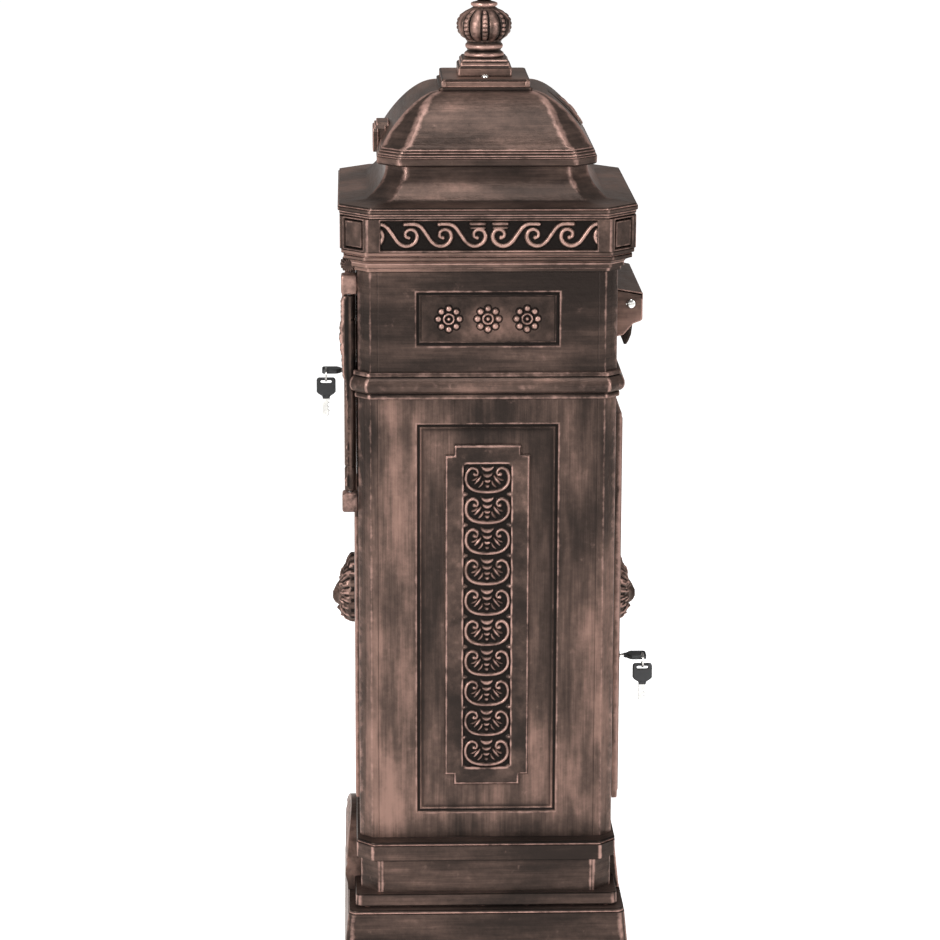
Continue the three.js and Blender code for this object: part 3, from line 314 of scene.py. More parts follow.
def plate(outline, low, high, bevel, holes=(), fade=2.0):
    # a flat plate from an outline, with bevelled rims that carry wear: rings up the rim, then a flat cap
    def inset(loop, amount):
        loop = np.asarray(loop, float)
        a = loop - np.roll(loop, 1, 0)
        b = np.roll(loop, -1, 0) - loop
        na = np.stack([-a[:, 1], a[:, 0]], -1) / np.linalg.norm(a, axis=1, keepdims=True)
        nb = np.stack([-b[:, 1], b[:, 0]], -1) / np.linalg.norm(b, axis=1, keepdims=True)
        n = na + nb
        return loop + amount * n / np.maximum((n * na).sum(1, keepdims=True), 0.35)

    def winding(loop):
        x, y = np.asarray(loop, float).T
        return np.sum(x * np.roll(y, -1) - y * np.roll(x, -1))

    loops = [np.asarray(outline, float)[:: 1 if winding(outline) > 0 else -1]]
    loops += [np.asarray(h, float)[:: -1 if winding(h) > 0 else 1] for h in holes]
    steps = [(low, bevel, 0.9), (low + bevel, 0, 0.9), (low + bevel + 0.8, 0, 0), (high - bevel - 0.8, 0, 0), (high - bevel, 0, 0.9), (high, bevel, 0.9), (high, bevel + fade, 0)]
    steps = [(low, bevel + fade, 0)] + steps
    parts, capLow, capHigh = [], [], []
    quads, points, wearAndShade, count = [], [], [], 0
    for loop in loops:
        grid = np.stack([np.column_stack([inset(loop, d), np.full(len(loop), z)]) for z, d, _ in steps], 1)
        n = len(loop)
        index = np.arange(n * len(steps)).reshape(n, -1) + count
        ring = np.vstack([index, index[:1]])
        quads.append(np.stack([ring[:-1, :-1], ring[1:, :-1], ring[1:, 1:], ring[:-1, 1:]], -1).reshape(-1, 4))
        points.append(grid.reshape(-1, 3))
        wearAndShade.append(np.tile([w for _, _, w in steps], n))
        capLow.append(index[:, 0])
        capHigh.append(index[:, -1])
        count += n * len(steps)
    points = np.vstack(points)
    tris = []
    for cap, turn in ((capLow, -1), (capHigh, 1)):
        order = np.concatenate(cap)
        found = geometry.tessellate_polygon([[Vector(points[i]) for i in c] for c in cap])
        t = order[np.array([tuple(f) for f in found])]
        p = points[t]
        area = np.cross(p[:, 1, :2] - p[:, 0, :2], p[:, 2, :2] - p[:, 0, :2])
        t[area * turn < 0] = t[area * turn < 0][:, ::-1]
        tris.append(t)
    return {"points": points, "quads": np.vstack(quads), "tris": np.vstack(tris), "wearAndShade": np.concatenate(wearAndShade)}


def ovalBlock(centre, half, power=5.0, steps=14):
    # a block with rounded edges: |x|^p + |y|^p + |z|^p = 1 over two angles
    a = np.linspace(-math.pi, math.pi, 4 * steps, endpoint=False)[:, None]
    b = np.linspace(-halfPi + 0.02, halfPi - 0.02, 2 * steps)[None]
    d = np.stack(np.broadcast_arrays(np.cos(a) * np.cos(b), np.sin(a) * np.cos(b), np.sin(b)), -1)
    r = (np.abs(d) ** power).sum(-1, keepdims=True) ** (-1 / power)
    wearAndShade = np.full(r.shape[:2], 0.45)
    return gridSurface(np.asarray(centre, float) + d * r * np.asarray(half, float), wearAndShade, closeRows=True, capFirst=True, capLast=True)


# materials
def nodeTools(material):
    material.use_nodes = True
    tree = material.node_tree
    tree.nodes.clear()

    def join(a, b):
        tree.links.new(a, b)

    def maths(kind, a, b=None, clamp=False):
        node = tree.nodes.new("ShaderNodeMath")
        node.operation = kind
        node.use_clamp = clamp
        for i, value in enumerate((a, b)):
            if value is None:
                continue
            if isinstance(value, (int, float)):
                node.inputs[i].default_value = value
            else:
                join(value, node.inputs[i])
        return node.outputs[0]

    def ramp(value, low, high, top=1.0):
        node = tree.nodes.new("ShaderNodeMapRange")
        node.interpolation_type = "SMOOTHSTEP"
        node.inputs["From Min"].default_value = low
        node.inputs["From Max"].default_value = high
        node.inputs["To Max"].default_value = top
        join(value, node.inputs["Value"])
        return node.outputs[0]

    def noise(coordinates, scale, stretch, detail=4.0, offset=(0, 0, 0)):
        mapping = tree.nodes.new("ShaderNodeMapping")
        mapping.inputs["Scale"].default_value = [scale * s for s in stretch]
        mapping.inputs["Location"].default_value = offset
        join(coordinates, mapping.inputs["Vector"])
        node = tree.nodes.new("ShaderNodeTexNoise")
        node.inputs["Scale"].default_value = 1.0
        node.inputs["Detail"].default_value = detail
        node.inputs["Roughness"].default_value = 0.6
        join(mapping.outputs[0], node.inputs["Vector"])
        return node.outputs["Fac"]

    def mix(factor, a, b):
        node = tree.nodes.new("ShaderNodeMix")
        node.data_type = "RGBA"
        join(factor, node.inputs["Factor"])
        for socket, value in ((node.inputs[6], a), (node.inputs[7], b)):
            if isinstance(value, tuple):
                socket.default_value = (*value, 1)
            else:
                join(value, socket)
        return node.outputs[2]

    return tree, join, maths, ramp, noise, mix


copperColours = {
    "ground": (0.022, 0.0165, 0.0145),
    "brown": (0.092, 0.060, 0.049),
    "copper": (0.25, 0.150, 0.120),
    "hollow": (0.008, 0.0065, 0.006),
    "rubbed": (0.40, 0.245, 0.205),
}


def antiqueCopper(name, strokes, shift=0.0, wearAmount=0.85, lowGlow=0.0):
    # near-black ground, brown and then copper where a brushed tone is high, rubbed copper where wear is
    # high; the tone adds tall patches, strokes and fine scratches that all run along one direction
    material = bpy.data.materials.new(name)
    tree, join, maths, ramp, noise, mix = nodeTools(material)
    place = tree.nodes.new("ShaderNodeTexCoord").outputs["Object"]
    patchRun = {"up": (1, 1, 0.28), "level": (0.26, 0.26, 1), "both": (0.7, 0.7, 0.7)}
    along = {"up": (1, 1, 0.04), "level": (0.04, 0.04, 1), "both": (0.4, 0.4, 0.4)}
    patch = noise(place, 22, patchRun[strokes], 3, (5, 2, 7))
    stroke = noise(place, 190, along[strokes], 4, (3, 1, 2))
    fine = noise(place, 640, along[strokes], 4)
    if lowGlow:
        # the walls are brushed level above the waist and upright below it
        split = tree.nodes.new("ShaderNodeSeparateXYZ")
        join(place, split.inputs[0])
        high = ramp(split.outputs["Z"], 0.60, 0.64)

        def turned(value, other):
            return maths("ADD", value, maths("MULTIPLY", maths("SUBTRACT", other, value), high))

        patch = turned(patch, noise(place, 22, patchRun["level"], 3, (5, 2, 7)))
        stroke = turned(stroke, noise(place, 190, along["level"], 4, (3, 1, 2)))
        fine = turned(fine, noise(place, 640, along["level"], 4))
    grain = noise(place, 850, (1, 1, 1), 2)
    mottle = noise(place, 150, (1, 1, 1), 4, (1, 4, 2))
    lump = noise(place, 70, (1, 1, 1), 3, (2, 2, 6))

    def about(value, amount):
        return maths("MULTIPLY", maths("SUBTRACT", value, 0.5), amount)

    tone = maths("ADD", about(patch, 1.7), about(stroke, 0.42))
    tone = maths("ADD", tone, about(fine, 0.24))
    tone = maths("ADD", tone, about(mottle, 0.28))
    tone = maths("ADD", tone, 0.5 + shift)
    if lowGlow:
        # more copper low down, less near the top
        tone = maths("ADD", tone, maths("MULTIPLY", maths("SUBTRACT", 0.40, split.outputs["Z"]), lowGlow))
        tone = maths("SUBTRACT", tone, maths("MULTIPLY", high, 0.17))
    toneNode = tree.nodes.new("ShaderNodeAttribute")
    toneNode.attribute_name = "tone"
    tone = maths("ADD", tone, toneNode.outputs["Fac"])
    wearNode = tree.nodes.new("ShaderNodeAttribute")
    wearNode.attribute_name = "wearAndShade"
    wearAndShade = wearNode.outputs["Fac"]
    rubbed = ramp(maths("ADD", wearAndShade, maths("ADD", about(mottle, 0.6), about(lump, 1.0))), 0.15, 0.85, wearAmount)
    # near-black below zero: patina in hollows, and painted shade inside the panel mouldings and at the foot of the
    # cornice skirt
    hollow = ramp(maths("MULTIPLY", wearAndShade, -1), 0.05, 0.8)
    colour = mix(maths("POWER", ramp(tone, -0.25, 0.66), 3.2), copperColours["ground"], copperColours["brown"])
    colour = mix(ramp(tone, 0.48, 0.96), colour, copperColours["copper"])
    colour = mix(rubbed, colour, copperColours["rubbed"])
    colour = mix(hollow, colour, copperColours["hollow"])
    shader = tree.nodes.new("ShaderNodeBsdfPrincipled")
    join(colour, shader.inputs["Base Color"])
    shader.inputs["Metallic"].default_value = 0.45
    shader.inputs["Specular IOR Level"].default_value = 0.12
    shader.inputs["Specular Tint"].default_value = (1.0, 0.8, 0.7, 1)
    join(maths("ADD", maths("MULTIPLY", fine, 0.2), maths("ADD", about(patch, 0.25), 0.26)), shader.inputs["Roughness"])
    bumpNode = tree.nodes.new("ShaderNodeBump")
    bumpNode.inputs["Strength"].default_value = 0.4
    bumpNode.inputs["Distance"].default_value = 0.0008
    swell = maths("ADD", maths("MULTIPLY", mottle, 1.3), maths("MULTIPLY", lump, 1.2))
    join(maths("ADD", maths("ADD", maths("MULTIPLY", fine, 0.6), maths("MULTIPLY", grain, 0.3)), swell), bumpNode.inputs["Height"])
    join(bumpNode.outputs[0], shader.inputs["Normal"])
    output = tree.nodes.new("ShaderNodeOutputMaterial")
    join(shader.outputs[0], output.inputs["Surface"])
    return material


def plainMetal(name, colour, roughness, metallic, bumpScale=700, bumpStrength=0.15, stretch=(1, 1, 1)):
    # plated or moulded material with a fine uneven surface
    material = bpy.data.materials.new(name)
    tree, join, maths, ramp, noise, mix = nodeTools(material)
    place = tree.nodes.new("ShaderNodeTexCoord").outputs["Object"]
    grain = noise(place, bumpScale, stretch, 3)
    cloud = noise(place, 60, (1, 1, 1), 2)
    darker = tuple(0.72 * c for c in colour)
    shader = tree.nodes.new("ShaderNodeBsdfPrincipled")
    join(mix(ramp(cloud, 0.35, 0.65), darker, colour), shader.inputs["Base Color"])
    shader.inputs["Metallic"].default_value = metallic
    join(maths("ADD", maths("MULTIPLY", grain, 0.15), roughness), shader.inputs["Roughness"])
    bumpNode = tree.nodes.new("ShaderNodeBump")
    bumpNode.inputs["Strength"].default_value = bumpStrength
    bumpNode.inputs["Distance"].default_value = 0.0004
    join(grain, bumpNode.inputs["Height"])
    join(bumpNode.outputs[0], shader.inputs["Normal"])
    output = tree.nodes.new("ShaderNodeOutputMaterial")
    join(shader.outputs[0], output.inputs["Surface"])
    return material


copperUp = antiqueCopper("copper_brushed_upright", "up", -0.01, lowGlow=0.42)
copperLevel = antiqueCopper("copper_brushed_level", "level", 0.03)
copperBand = antiqueCopper("copper_band", "level", -0.07)
# rubbed copper at full strength on the base, plinth and collar edges: partly real wear, partly a painted highlight
# along their top rims
copperBase = antiqueCopper("copper_base", "level", -0.19, 1.0)
copperOrnament = antiqueCopper("copper_ornament", "both", -0.07, 0.95)
copperInside = antiqueCopper("copper_unrubbed", "both", -0.1, 0.2)
zincSteel = plainMetal("zinc_steel", (0.42, 0.43, 0.44), 0.35, 0.9)
brightNickel = plainMetal("bright_nickel", (0.72, 0.71, 0.68), 0.18, 1.0, 400, 0.05)
blackPlastic = plainMetal("black_plastic", (0.012, 0.012, 0.013), 0.38, 0.0)
print("materials ready")


# base, plinth and collar
baseSizes = {"top": (148, 165), "flare": 4, "height": 46, "cut": 5.5}


def makeBase():
    (x, y), f, h, c = baseSizes["top"], baseSizes["flare"], baseSizes["height"], baseSizes["cut"]
    rows = [(0, x + f, y + f, c), (6, x + f * 0.9, y + f * 0.9, c), (h - 3.4, x, y, c), (h - 3.4, x - 1, y - 1, c), (h, x - 1, y - 1, c), (h, x - 14, y - 14, c)]
    makePiece("base_casting", [casting(rows, cornerRadius=2.2, cornerFade=5, cornerWear=0.45)], copperBase, "pillar", ["base_block"])


plinthSizes = {"step": (140, 158), "neck": (134, 150), "neckCut": 19, "apronHalf": 100}


def makePlinth():
    (sx, sy), (nx, ny), c = plinthSizes["step"], plinthSizes["neck"], plinthSizes["neckCut"]
    step = [(46.3, sx - 5, sy - 5, 6), (49, sx - 5, sy - 5, 6), (49, sx, sy, 4), (62, sx - 0.4, sy - 0.4, 4), (62, sx - 9, sy - 9, 6)]
    neck = [(60, nx, ny, c), (62.6, nx, ny, c), (98, nx, ny, c), (98, nx - 4, ny - 4, c)]
    surfaces = [casting(step, cornerRadius=2.2, cornerFade=5, cornerWear=0.5), casting(neck, cornerRadius=1.6, cornerFade=3.4, cornerWear=0.45)]
    # raised strips beside the near and far corners of the neck
    for sign in (-1, 1):
        for x in (-1, 1):
            a = graded(-2.2, 2.2, [0], 0.4, 2.2, 1)
            b = np.array([62.5, 64, 96, 97.8])
            h = 0.9 * np.sqrt(np.clip(1 - (a / 2.3) ** 2, 0, 1))[:, None] * np.ones(4)
            surfaces.append(place(slab(a, b, h, -1.0, wearAndShade=np.broadcast_to(0.5 - abs(a)[:, None] / 5, (len(a), 4))), (x * 111.5, sign * ny, 0), (1, 0, 0), (0, 0, 1), (0, sign, 0)))
    # sloping apron below the front door
    half = plinthSizes["apronHalf"]
    outline = [(nx - 1, 46.3), (146.5, 46.3), (nx + 8, 88), (nx + 7, 97.9), (nx - 1, 97.9)]
    apron = plate(outline, -half, half, 1.0)
    surfaces.append(place(apron, (0, 0, 0), (1, 0, 0), (0, 0, 1), (0, 1, 0)))
    makePiece("plinth_casting", surfaces, copperBase, "pillar", ["plinth"])


collarSizes = {"half": (138.5, 154), "cut": 16.5, "groove": 1.4}


def makeCollar():
    (x, y), c, g = collarSizes["half"], collarSizes["cut"], collarSizes["groove"]
    rows = [(98.3, x - 5, y - 5, c), (98.3, x, y, c), (115.2, x, y, c), (115.2, x - g, y - g, c), (116.8, x - g, y - g, c), (116.8, x, y, c), (119, x - 0.6, y - 0.6, c), (119, x - 20, y - 20, c)]
    makePiece("collar_casting", [casting(rows, radius=0.5, fade=1.2, cornerRadius=1.6, cornerFade=3.4)], copperBase, "pillar", ["collar"])


# shaft walls
wallSizes = {
    "halfAcross": 135, "out": 137, "cut": 13, "low": 119.3, "high": 733.7, "thick": 4,
    "lowerPanel": (0, 360, 74.6, 213.3), "upperPanel": (0, 684, 75, 29), "panelDepth": 2.5,
    "doorways": {"rear": (499, 704), "front": (154, 576)}, "rebateHalf": 106,
}
# moulding round a sunk panel: distance outside the panel's edge, height, wear with painted shade (rubbed ridges;
# painted shade in the groove and in a band on the panel floor just inside the moulding)
panelMoulding = np.array([
    (-15.0, -2.5, 0.0), (-10.5, -2.5, -0.22), (-8.8, -2.5, -0.38), (-6.4, -2.5, -0.6), (-5.6, -2.3, -0.35), (-4.9, -1.2, 0.35), (-4.3, -1.1, 0.15), (-3.8, -1.9, -0.7),
    (-1.5, -1.9, -0.8), (-0.9, -0.3, 0.2), (-0.2, 0.0, 0.55), (0.8, 0.0, 0.3), (2.0, 0.0, 0.0), (6.0, 0.0, 0.0)])


# rubbed and dark areas of a side wall: middle across and up, half sizes, change of tone
wallPatches = [
    (-101, 480, 20, 60, 0.36), (-103, 300, 19, 130, 0.16), (-100, 165, 22, 45, 0.14), (100, 215, 20, 70, 0.04), (100, 470, 24, 80, -0.10),
    (0, 560, 70, 14, -0.06), (-58, 350, 13, 180, -0.20), (60, 450, 12, 90, -0.08), (60, 230, 12, 80, 0.03),
    (0, 690, 130, 50, -0.03), (-70, 640, 40, 14, 0.12), (70, 650, 30, 12, 0.10), (-108, 585, 20, 16, 0.14),
    (10, 122, 118, 18, -0.3)]


def wallTone(A, B):
    # each patch is a swell that dies away at its edges
    tone = np.zeros(A.shape)
    for cx, cz, rx, rz, amount in wallPatches:
        tone = tone + amount * np.exp(-abs((A - cx) / rx) ** 3 - abs((B - cz) / rz) ** 3)
    return tone


def wallLines(sizes):
    # samples across and up a side wall, fine near each moulding
    cut = sizes["cut"]
    edge = sizes["halfAcross"] - cut
    half = sizes["halfAcross"] - cut / 2 - 0.25
    fx = [s * (sizes["lowerPanel"][2] - 3) for s in (-1, 1)]
    a = graded(-half, half, fx + [-edge, edge, -114, 114], 0.6, 6.5, 7)
    fz = [p[1] + s * (p[3] - 3) for p in (sizes["lowerPanel"], sizes["upperPanel"]) for s in (-1, 1)]
    b = graded(sizes["low"], sizes["high"], fz, 0.6, 6.5, 10)
    return a, b, edge, half


def wallFace(A, B, sizes):
    # height and wear of a side wall, with painted shade inside the panel mouldings: sunk panels with mitred mouldings,
    # seam lines, chamfered ends
    height, wearAndShade = np.zeros(A.shape), np.zeros(A.shape)
    for cx, cz, hw, hh in (sizes["lowerPanel"], sizes["upperPanel"]):
        d = np.maximum(abs(A - cx) - hw, abs(B - cz) - hh)
        height += np.interp(d, panelMoulding[:, 0], panelMoulding[:, 1])
        # painted shade: the moulding table darkens the groove and the panel floor just inside the moulding
        wearAndShade += np.interp(d, panelMoulding[:, 0], panelMoulding[:, 2], left=0, right=0)
    return height, wearAndShade


def makeSideWalls():
    s = wallSizes
    a, b, edge, half = wallLines(s)
    A, B = np.meshgrid(a, b, indexing="ij")
    height, wearAndShade = wallFace(A, B, s)
    over = np.clip(abs(A) - edge, 0, None)
    height = height - over
    wearAndShade = wearAndShade + np.exp(-((abs(A) - edge) / 1.3) ** 2) * 0.4
    seam = np.exp(-((abs(A) - 114.5) / 0.6) ** 2)
    height -= 0.45 * seam
    wearAndShade -= 0.5 * seam
    back = -s["thick"] - np.clip((abs(A) - edge) * 1.2, 0, 6)
    for name, sign in (("left", -1), ("right", 1)):
        wall = place(slab(a, b, height, back, wearAndShade=np.clip(wearAndShade, -1, 1), tone=wallTone(A, B)), (0, sign * s["out"], 0), (1, 0, 0), (0, 0, 1), (0, sign, 0))
        makePiece(f"{name}_wall_casting", [wall], copperUp, "pillar", [f"{name}_wall"])


# plaque with its column of scrolls
plaqueSizes = {
    "halfWidth": 44.3, "low": 178.6, "high": 550.7, "notch": (9.5, 11.0), "out": 138.5, "thick": 4,
    "stripHalf": 25.2, "stripLow": 197.8, "stripHigh": 530.5, "stripDepth": 2.6, "motifs": 10,
}
cupLine = [(0, 0), (-8.3, 0.5), (-16.2, 3.2), (-21.2, 8.6), (-22.6, 15.6), (-20.7, 22.3), (-16.2, 25.8), (-11.7, 24.6), (-9.9, 21.2), (-11.4, 18.3), (-13.8, 18.9)]
leafLines = [([(-6.8, 17.4), (-9.2, 13.6), (-13.0, 9.2)], 3.4), ([(-10.2, 16.2), (-13.0, 13.8), (-16.4, 12.6)], 2.2), ([(-4.6, 11.8), (-6.0, 8.4), (-9.0, 5.4)], 2.6)]
crescents = [(24.0, 6.4, 3.0, 4.8), (17.2, 5.0, 2.4, 4.2), (11.2, 3.2, 1.4, 3.6), (6.2, 2.0, 0.6, 3.6)]  # middle z, half width, rise at the ends, thickness


def scrollMotif(x, z):
    # one cup of the column: an open-topped scroll, three stacked crescents and side leaves, mirrored in x
    m = -abs(x)
    d, along = toPath(m, z, curveThrough(cupLine, 5))
    height = roundBar(d, 3.7 - 0.9 * smooth(along, 0.75, 1), 2.5)
    height = np.maximum(height, bump(m, z, -13.4, 19.0, 2.3, 2.3, 2.7))
    for line, width in leafLines:
        d, along = toPath(m, z, curveThrough(line, 5))
        height = np.maximum(height, roundBar(d, width * (0.55 + 0.45 * np.sin(math.pi * np.clip(along, 0.05, 0.95))), 2.4))
    for cz, hw, rise, thick in crescents:
        t = np.clip(abs(m) / hw, 0, 1)
        body = np.clip(1 - ((z - cz - rise * t ** 2) / (0.5 * thick * np.sqrt(1.05 - t ** 2 * 0.75))) ** 2, 0, 1)
        height = np.maximum(height, 2.5 * np.sqrt(body) * smooth(1.12 - abs(m) / hw, 0, 0.2))
    return height


def stripHeight(X, Z, s):
    pitch = (s["stripHigh"] - s["stripLow"]) / s["motifs"]
    local = np.mod(Z - s["stripLow"] - 2.6, pitch)
    squeeze = 33.3 / pitch
    height = scrollMotif(X, local * squeeze)
    height = np.maximum(height, scrollMotif(X, local * squeeze - 33.3))
    height = np.maximum(height, scrollMotif(X, local * squeeze + 33.3))
    # three-sided studs in the corners between motifs
    stud = np.mod(local * squeeze + 2.6 + 16.6, 33.3) - 16.6
    inner = (abs(X) - 19.6) / 4.2
    height = np.maximum(height, 2.3 * np.clip(np.minimum(inner, 1.1 - abs(stud) / (3.2 * np.clip(inner, 0.05, 1))), 0, 1))
    return height


def makePlaques():
    s = plaqueSizes
    w, (nx, nz), sw = s["halfWidth"], s["notch"], s["stripHalf"]
    a = spaced([-w, -w + nx, -sw, sw, w - nx, w], 0.8)
    b = spaced([s["low"], s["low"] + nz, s["stripLow"], s["stripHigh"], s["high"] - nz, s["high"]], 0.9)
    A, B = np.meshgrid(a, b, indexing="ij")
    mid = 0.5 * (s["low"] + s["high"])
    hh = 0.5 * (s["high"] - s["low"])
    # distance inside the notched outline: the nearer of the wide and the tall rectangle's edges
    wide = np.minimum(w - abs(A), hh - nz - abs(B - mid))
    tall = np.minimum(w - nx - abs(A), hh - abs(B - mid))
    inside = np.maximum(wide, tall)
    rim = np.interp(inside, [0, 0.6, 1.7, 2.8, 3.4], [-0.9, 0.0, 0.5, 0.1, 0.0])
    strip = np.minimum(sw - abs(A), np.minimum(B - s["stripLow"], s["stripHigh"] - B))
    inStrip = strip > 0.4
    height = rim - s["stripDepth"] * smooth(strip, -0.2, 0.7)
    relief = np.where(inStrip, stripHeight(A, B, s), 0)
    height = height + relief
    wearAndShade = standProud(height, 3, 1.0)
    wearAndShade = np.where(inStrip, np.clip(-0.8 + 0.62 * relief, -0.8, 0.62), wearAndShade)
    wearAndShade = np.maximum(wearAndShade, np.where(inside < 2.2, 0.6 - abs(inside - 1.1) * 0.6, -1))
    Ac, Bc = 0.5 * (A[1:, 1:] + A[:-1, :-1]), 0.5 * (B[1:, 1:] + B[:-1, :-1])
    keep = (abs(Ac) < w - nx) | (abs(Bc - mid) < hh - nz)
    for name, sign in (("left", -1), ("right", 1)):
        piece = place(slab(a, b, height, -s["thick"] + 0.3, keep, wearAndShade, np.where(inStrip, 0, -0.13)), (0, sign * s["out"], 0), (1, 0, 0), (0, 0, 1), (0, sign, 0))
        makePiece(f"{name}_plaque_scrolls", [piece], copperOrnament, "pillar", [f"{name}_plaque"])


rosetteSizes = {"centreZ": 684, "halfWidth": 68, "halfHeight": 23, "pitch": 40.6, "bead": 3.5, "beadCircle": 10.9, "ring": 5.2}


def makeRosettes():
    s = rosetteSizes
    cadLow, cadHigh = (np.array(v) * 1000 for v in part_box("left_rosette_panel"))
    w, low, high = cadHigh[0], cadLow[2], cadHigh[2]
    a = graded(-w, w, [-s["pitch"], 0, s["pitch"]], 0.55, 17, 6)
    b = graded(low, high, [s["centreZ"]], 0.55, 17, 2)
    A, B = np.meshgrid(a, b, indexing="ij")
    x = np.mod(A + s["pitch"] / 2, s["pitch"]) - s["pitch"] / 2
    x = np.where(abs(A) > 1.5 * s["pitch"], 99, x)
    z = B - s["centreZ"]
    r, angle = np.hypot(x, z), np.arctan2(z, x)
    nearest = np.round(angle / (math.pi / 4)) * (math.pi / 4)
    bx, bz = s["beadCircle"] * np.cos(nearest), s["beadCircle"] * np.sin(nearest)
    relief = bump(x, z, bx, bz, s["bead"], s["bead"], 2.7)
    relief = np.maximum(relief, roundBar(abs(r - s["ring"]), 2.6, 2.3))
    relief = np.maximum(relief, bump(x, z, 0, 0, 2.2, 2.2, 2.6))
    petal = np.hypot(x - bx, z - bz) < s["bead"] + 1.0
    wearAndShade = np.where((r < s["beadCircle"]) | petal, np.clip(-0.85 + 0.68 * relief, -0.85, 0.7), -0.32)
    base = float(wallSizes["out"] - wallSizes["panelDepth"] + 0.2)
    for name, sign in (("left", -1), ("right", 1)):
        piece = place(slab(a, b, relief, -1.2, None, wearAndShade), (0, sign * base, 0), (1, 0, 0), (0, 0, 1), (0, sign, 0))
        makePiece(f"{name}_rosettes", [piece], copperOrnament, "pillar", [f"{name}_rosette_panel"])


def makeEndWalls():
    # front and rear walls: the same chamfered plate with door and letter openings cut out
    s = wallSizes
    edge = 137 - s["cut"]
    half = 137 - s["cut"] / 2 - 0.25
    openings = {
        "front": [(-95, 95, 158, 572), (-76, 76, 655, 688)],
        "rear": [(-95, 95, 503, 700)],
    }
    for name, sign in (("front", 1), ("rear", -1)):
        stops = sorted({v for o in openings[name] for v in o[:2]} | {-half, -edge - 1, -edge + 1, -106.6, -106, 106, 106.6, edge - 1, edge + 1, half})
        a = spaced(stops, 9)
        doorway = {v + d for v in s["doorways"][name] for d in (-0.6, 0, 0.6)}
        b = spaced(sorted({s["low"], s["high"]} | doorway | {v for o in openings[name] for v in o[2:]}), 12)
        A, B = np.meshgrid(a, b, indexing="ij")
        height = -np.clip(abs(A) - edge, 0, None)
        # low rebate round the doorway, so that no light passes behind the leaf
        doorLow, doorHigh = s["doorways"][name]
        rebate = np.minimum(s["rebateHalf"] - abs(A), np.minimum(B - doorLow, doorHigh - B))
        height = height + 1.4 * (rebate > -0.01)
        wearAndShade = np.where(abs(abs(A) - edge) < 1.5, 0.35, 0)
        back = -s["thick"] - np.clip((abs(A) - edge) * 0.9, 0, 5.2)
        Ac, Bc = 0.5 * (A[1:, 1:] + A[:-1, :-1]), 0.5 * (B[1:, 1:] + B[:-1, :-1])
        keep = np.ones(Ac.shape, bool)
        for y0, y1, z0, z1 in openings[name]:
            keep &= ~((Ac > y0) & (Ac < y1) & (Bc > z0) & (Bc < z1))
        wall = place(slab(a, b, height, back, keep, wearAndShade), (sign * s["halfAcross"], 0, 0), (0, 1, 0), (0, 0, 1), (sign, 0, 0))
        makePiece(f"{name}_wall_casting", [wall], copperUp, "pillar", [f"{name}_wall"])


waistSizes = {"low": 600, "height": 28, "doorway": 121, "torus": 6.1}


def makeWaist():
    # a half-round band between two fillets, carried round the shaft from one side of the doorway to the other
    s = waistSizes
    t = np.array([0, 0, 0.03, 0.14, 0.17, 0.19, 0.21, 0.25, 0.32, 0.42, 0.52, 0.62, 0.72, 0.79, 0.83, 0.85, 0.87, 0.97, 1, 1])
    proud = np.array([0.3, 2.6, 3.2, 3.2, 2.8, 2.4, 2.6, 5.2, 7.2, 8.3, 8.5, 8.1, 6.8, 5.0, 3.6, 3.4, 4.4, 4.4, 3.8, 0.3])
    worn = np.array([0, 0.2, 0.5, 0.1, -0.5, -0.8, -0.5, -0.1, 0.05, 0.14, 0.2, 0.16, 0.05, -0.2, -0.8, -0.6, 0.3, 0.25, 0.4, 0.1])
    rows = np.column_stack([s["low"] + s["height"] * t, 135 + proud, 137 + proud, 13 + proud / 2.5, worn])
    points, wearAndShade = castRings(rows, cornerRadius=1.5, cornerFade=3)
    points, wearAndShade = np.roll(points, -35, 0), np.roll(wearAndShade, -35, 0)
    ends = []
    for y in (-s["doorway"], s["doorway"]):
        stop = points[:1].copy()
        stop[..., 1] = y
        ends.append(stop)
    points = np.concatenate([ends[0], points, ends[1]])
    wearAndShade = np.concatenate([wearAndShade[:1], wearAndShade, wearAndShade[:1]])
    band = gridSurface(points.transpose(1, 0, 2), wearAndShade.T, closeRows=True, capFirst=True, capLast=True)
    makePiece("waist_band", [band], copperBand, "pillar", ["waist_moulding"])


# entablature, frieze and cornice
entablatureRows = [(734.0, 3, 14), (738.5, 3, 14), (738.5, 6, 15), (743, 6, 15), (745.5, 8.2, 17), (747.5, 13.4, 20), (747.5, 14.2, 21), (751.5, 14.2, 21), (751.5, 13, 22), (752.8, 13, 22), (752.8, 16.5, 25), (757.0, 16.5, 25)]
friezeSizes = {"half": (153, 155), "cut": 27.4, "low": 757.3, "high": 791.0, "depth": 3.4, "recessHalf": 111.3, "pitch": 35.0, "firstCurl": 11.2}
waveLine = [(-42, 12.4), (-37, 12.7), (-30, 12.3), (-24.5, 9.0), (-19, 1.6), (-13.4, -6.4), (-7.0, -10.8), (-0.4, -10.9), (5.6, -7.0), (7.9, -0.6), (5.6, 5.2), (0.2, 6.8), (-4.2, 4.0), (-4.4, -0.6), (-1.2, -2.4)]


def waveScrolls(A, Z):
    # running scrolls mirrored about the middle: every point is measured from each curl in turn
    s = friezeSizes
    x = -abs(A)
    height = np.zeros(A.shape)
    line = curveThrough(np.array(waveLine) * 0.95, 5)
    for i in range(5):
        local = x + s["firstCurl"] + i * s["pitch"]
        d, along = toPath(local, Z, line)
        height = np.maximum(height, roundBar(d, 4.9 - 0.9 * smooth(along, 0.7, 1), 3.1))
        height = np.maximum(height, bump(local, Z, -1.1, -2.1, 2.5, 2.5, 3.1))
    for z, thick in ((12.2, 4.2), (8.0, 2.6)):
        d, _ = toPath(x, Z, [(-18.4, z), (-4.6, z)])
        height = np.maximum(height, roundBar(d, thick, 2.6))
    return height


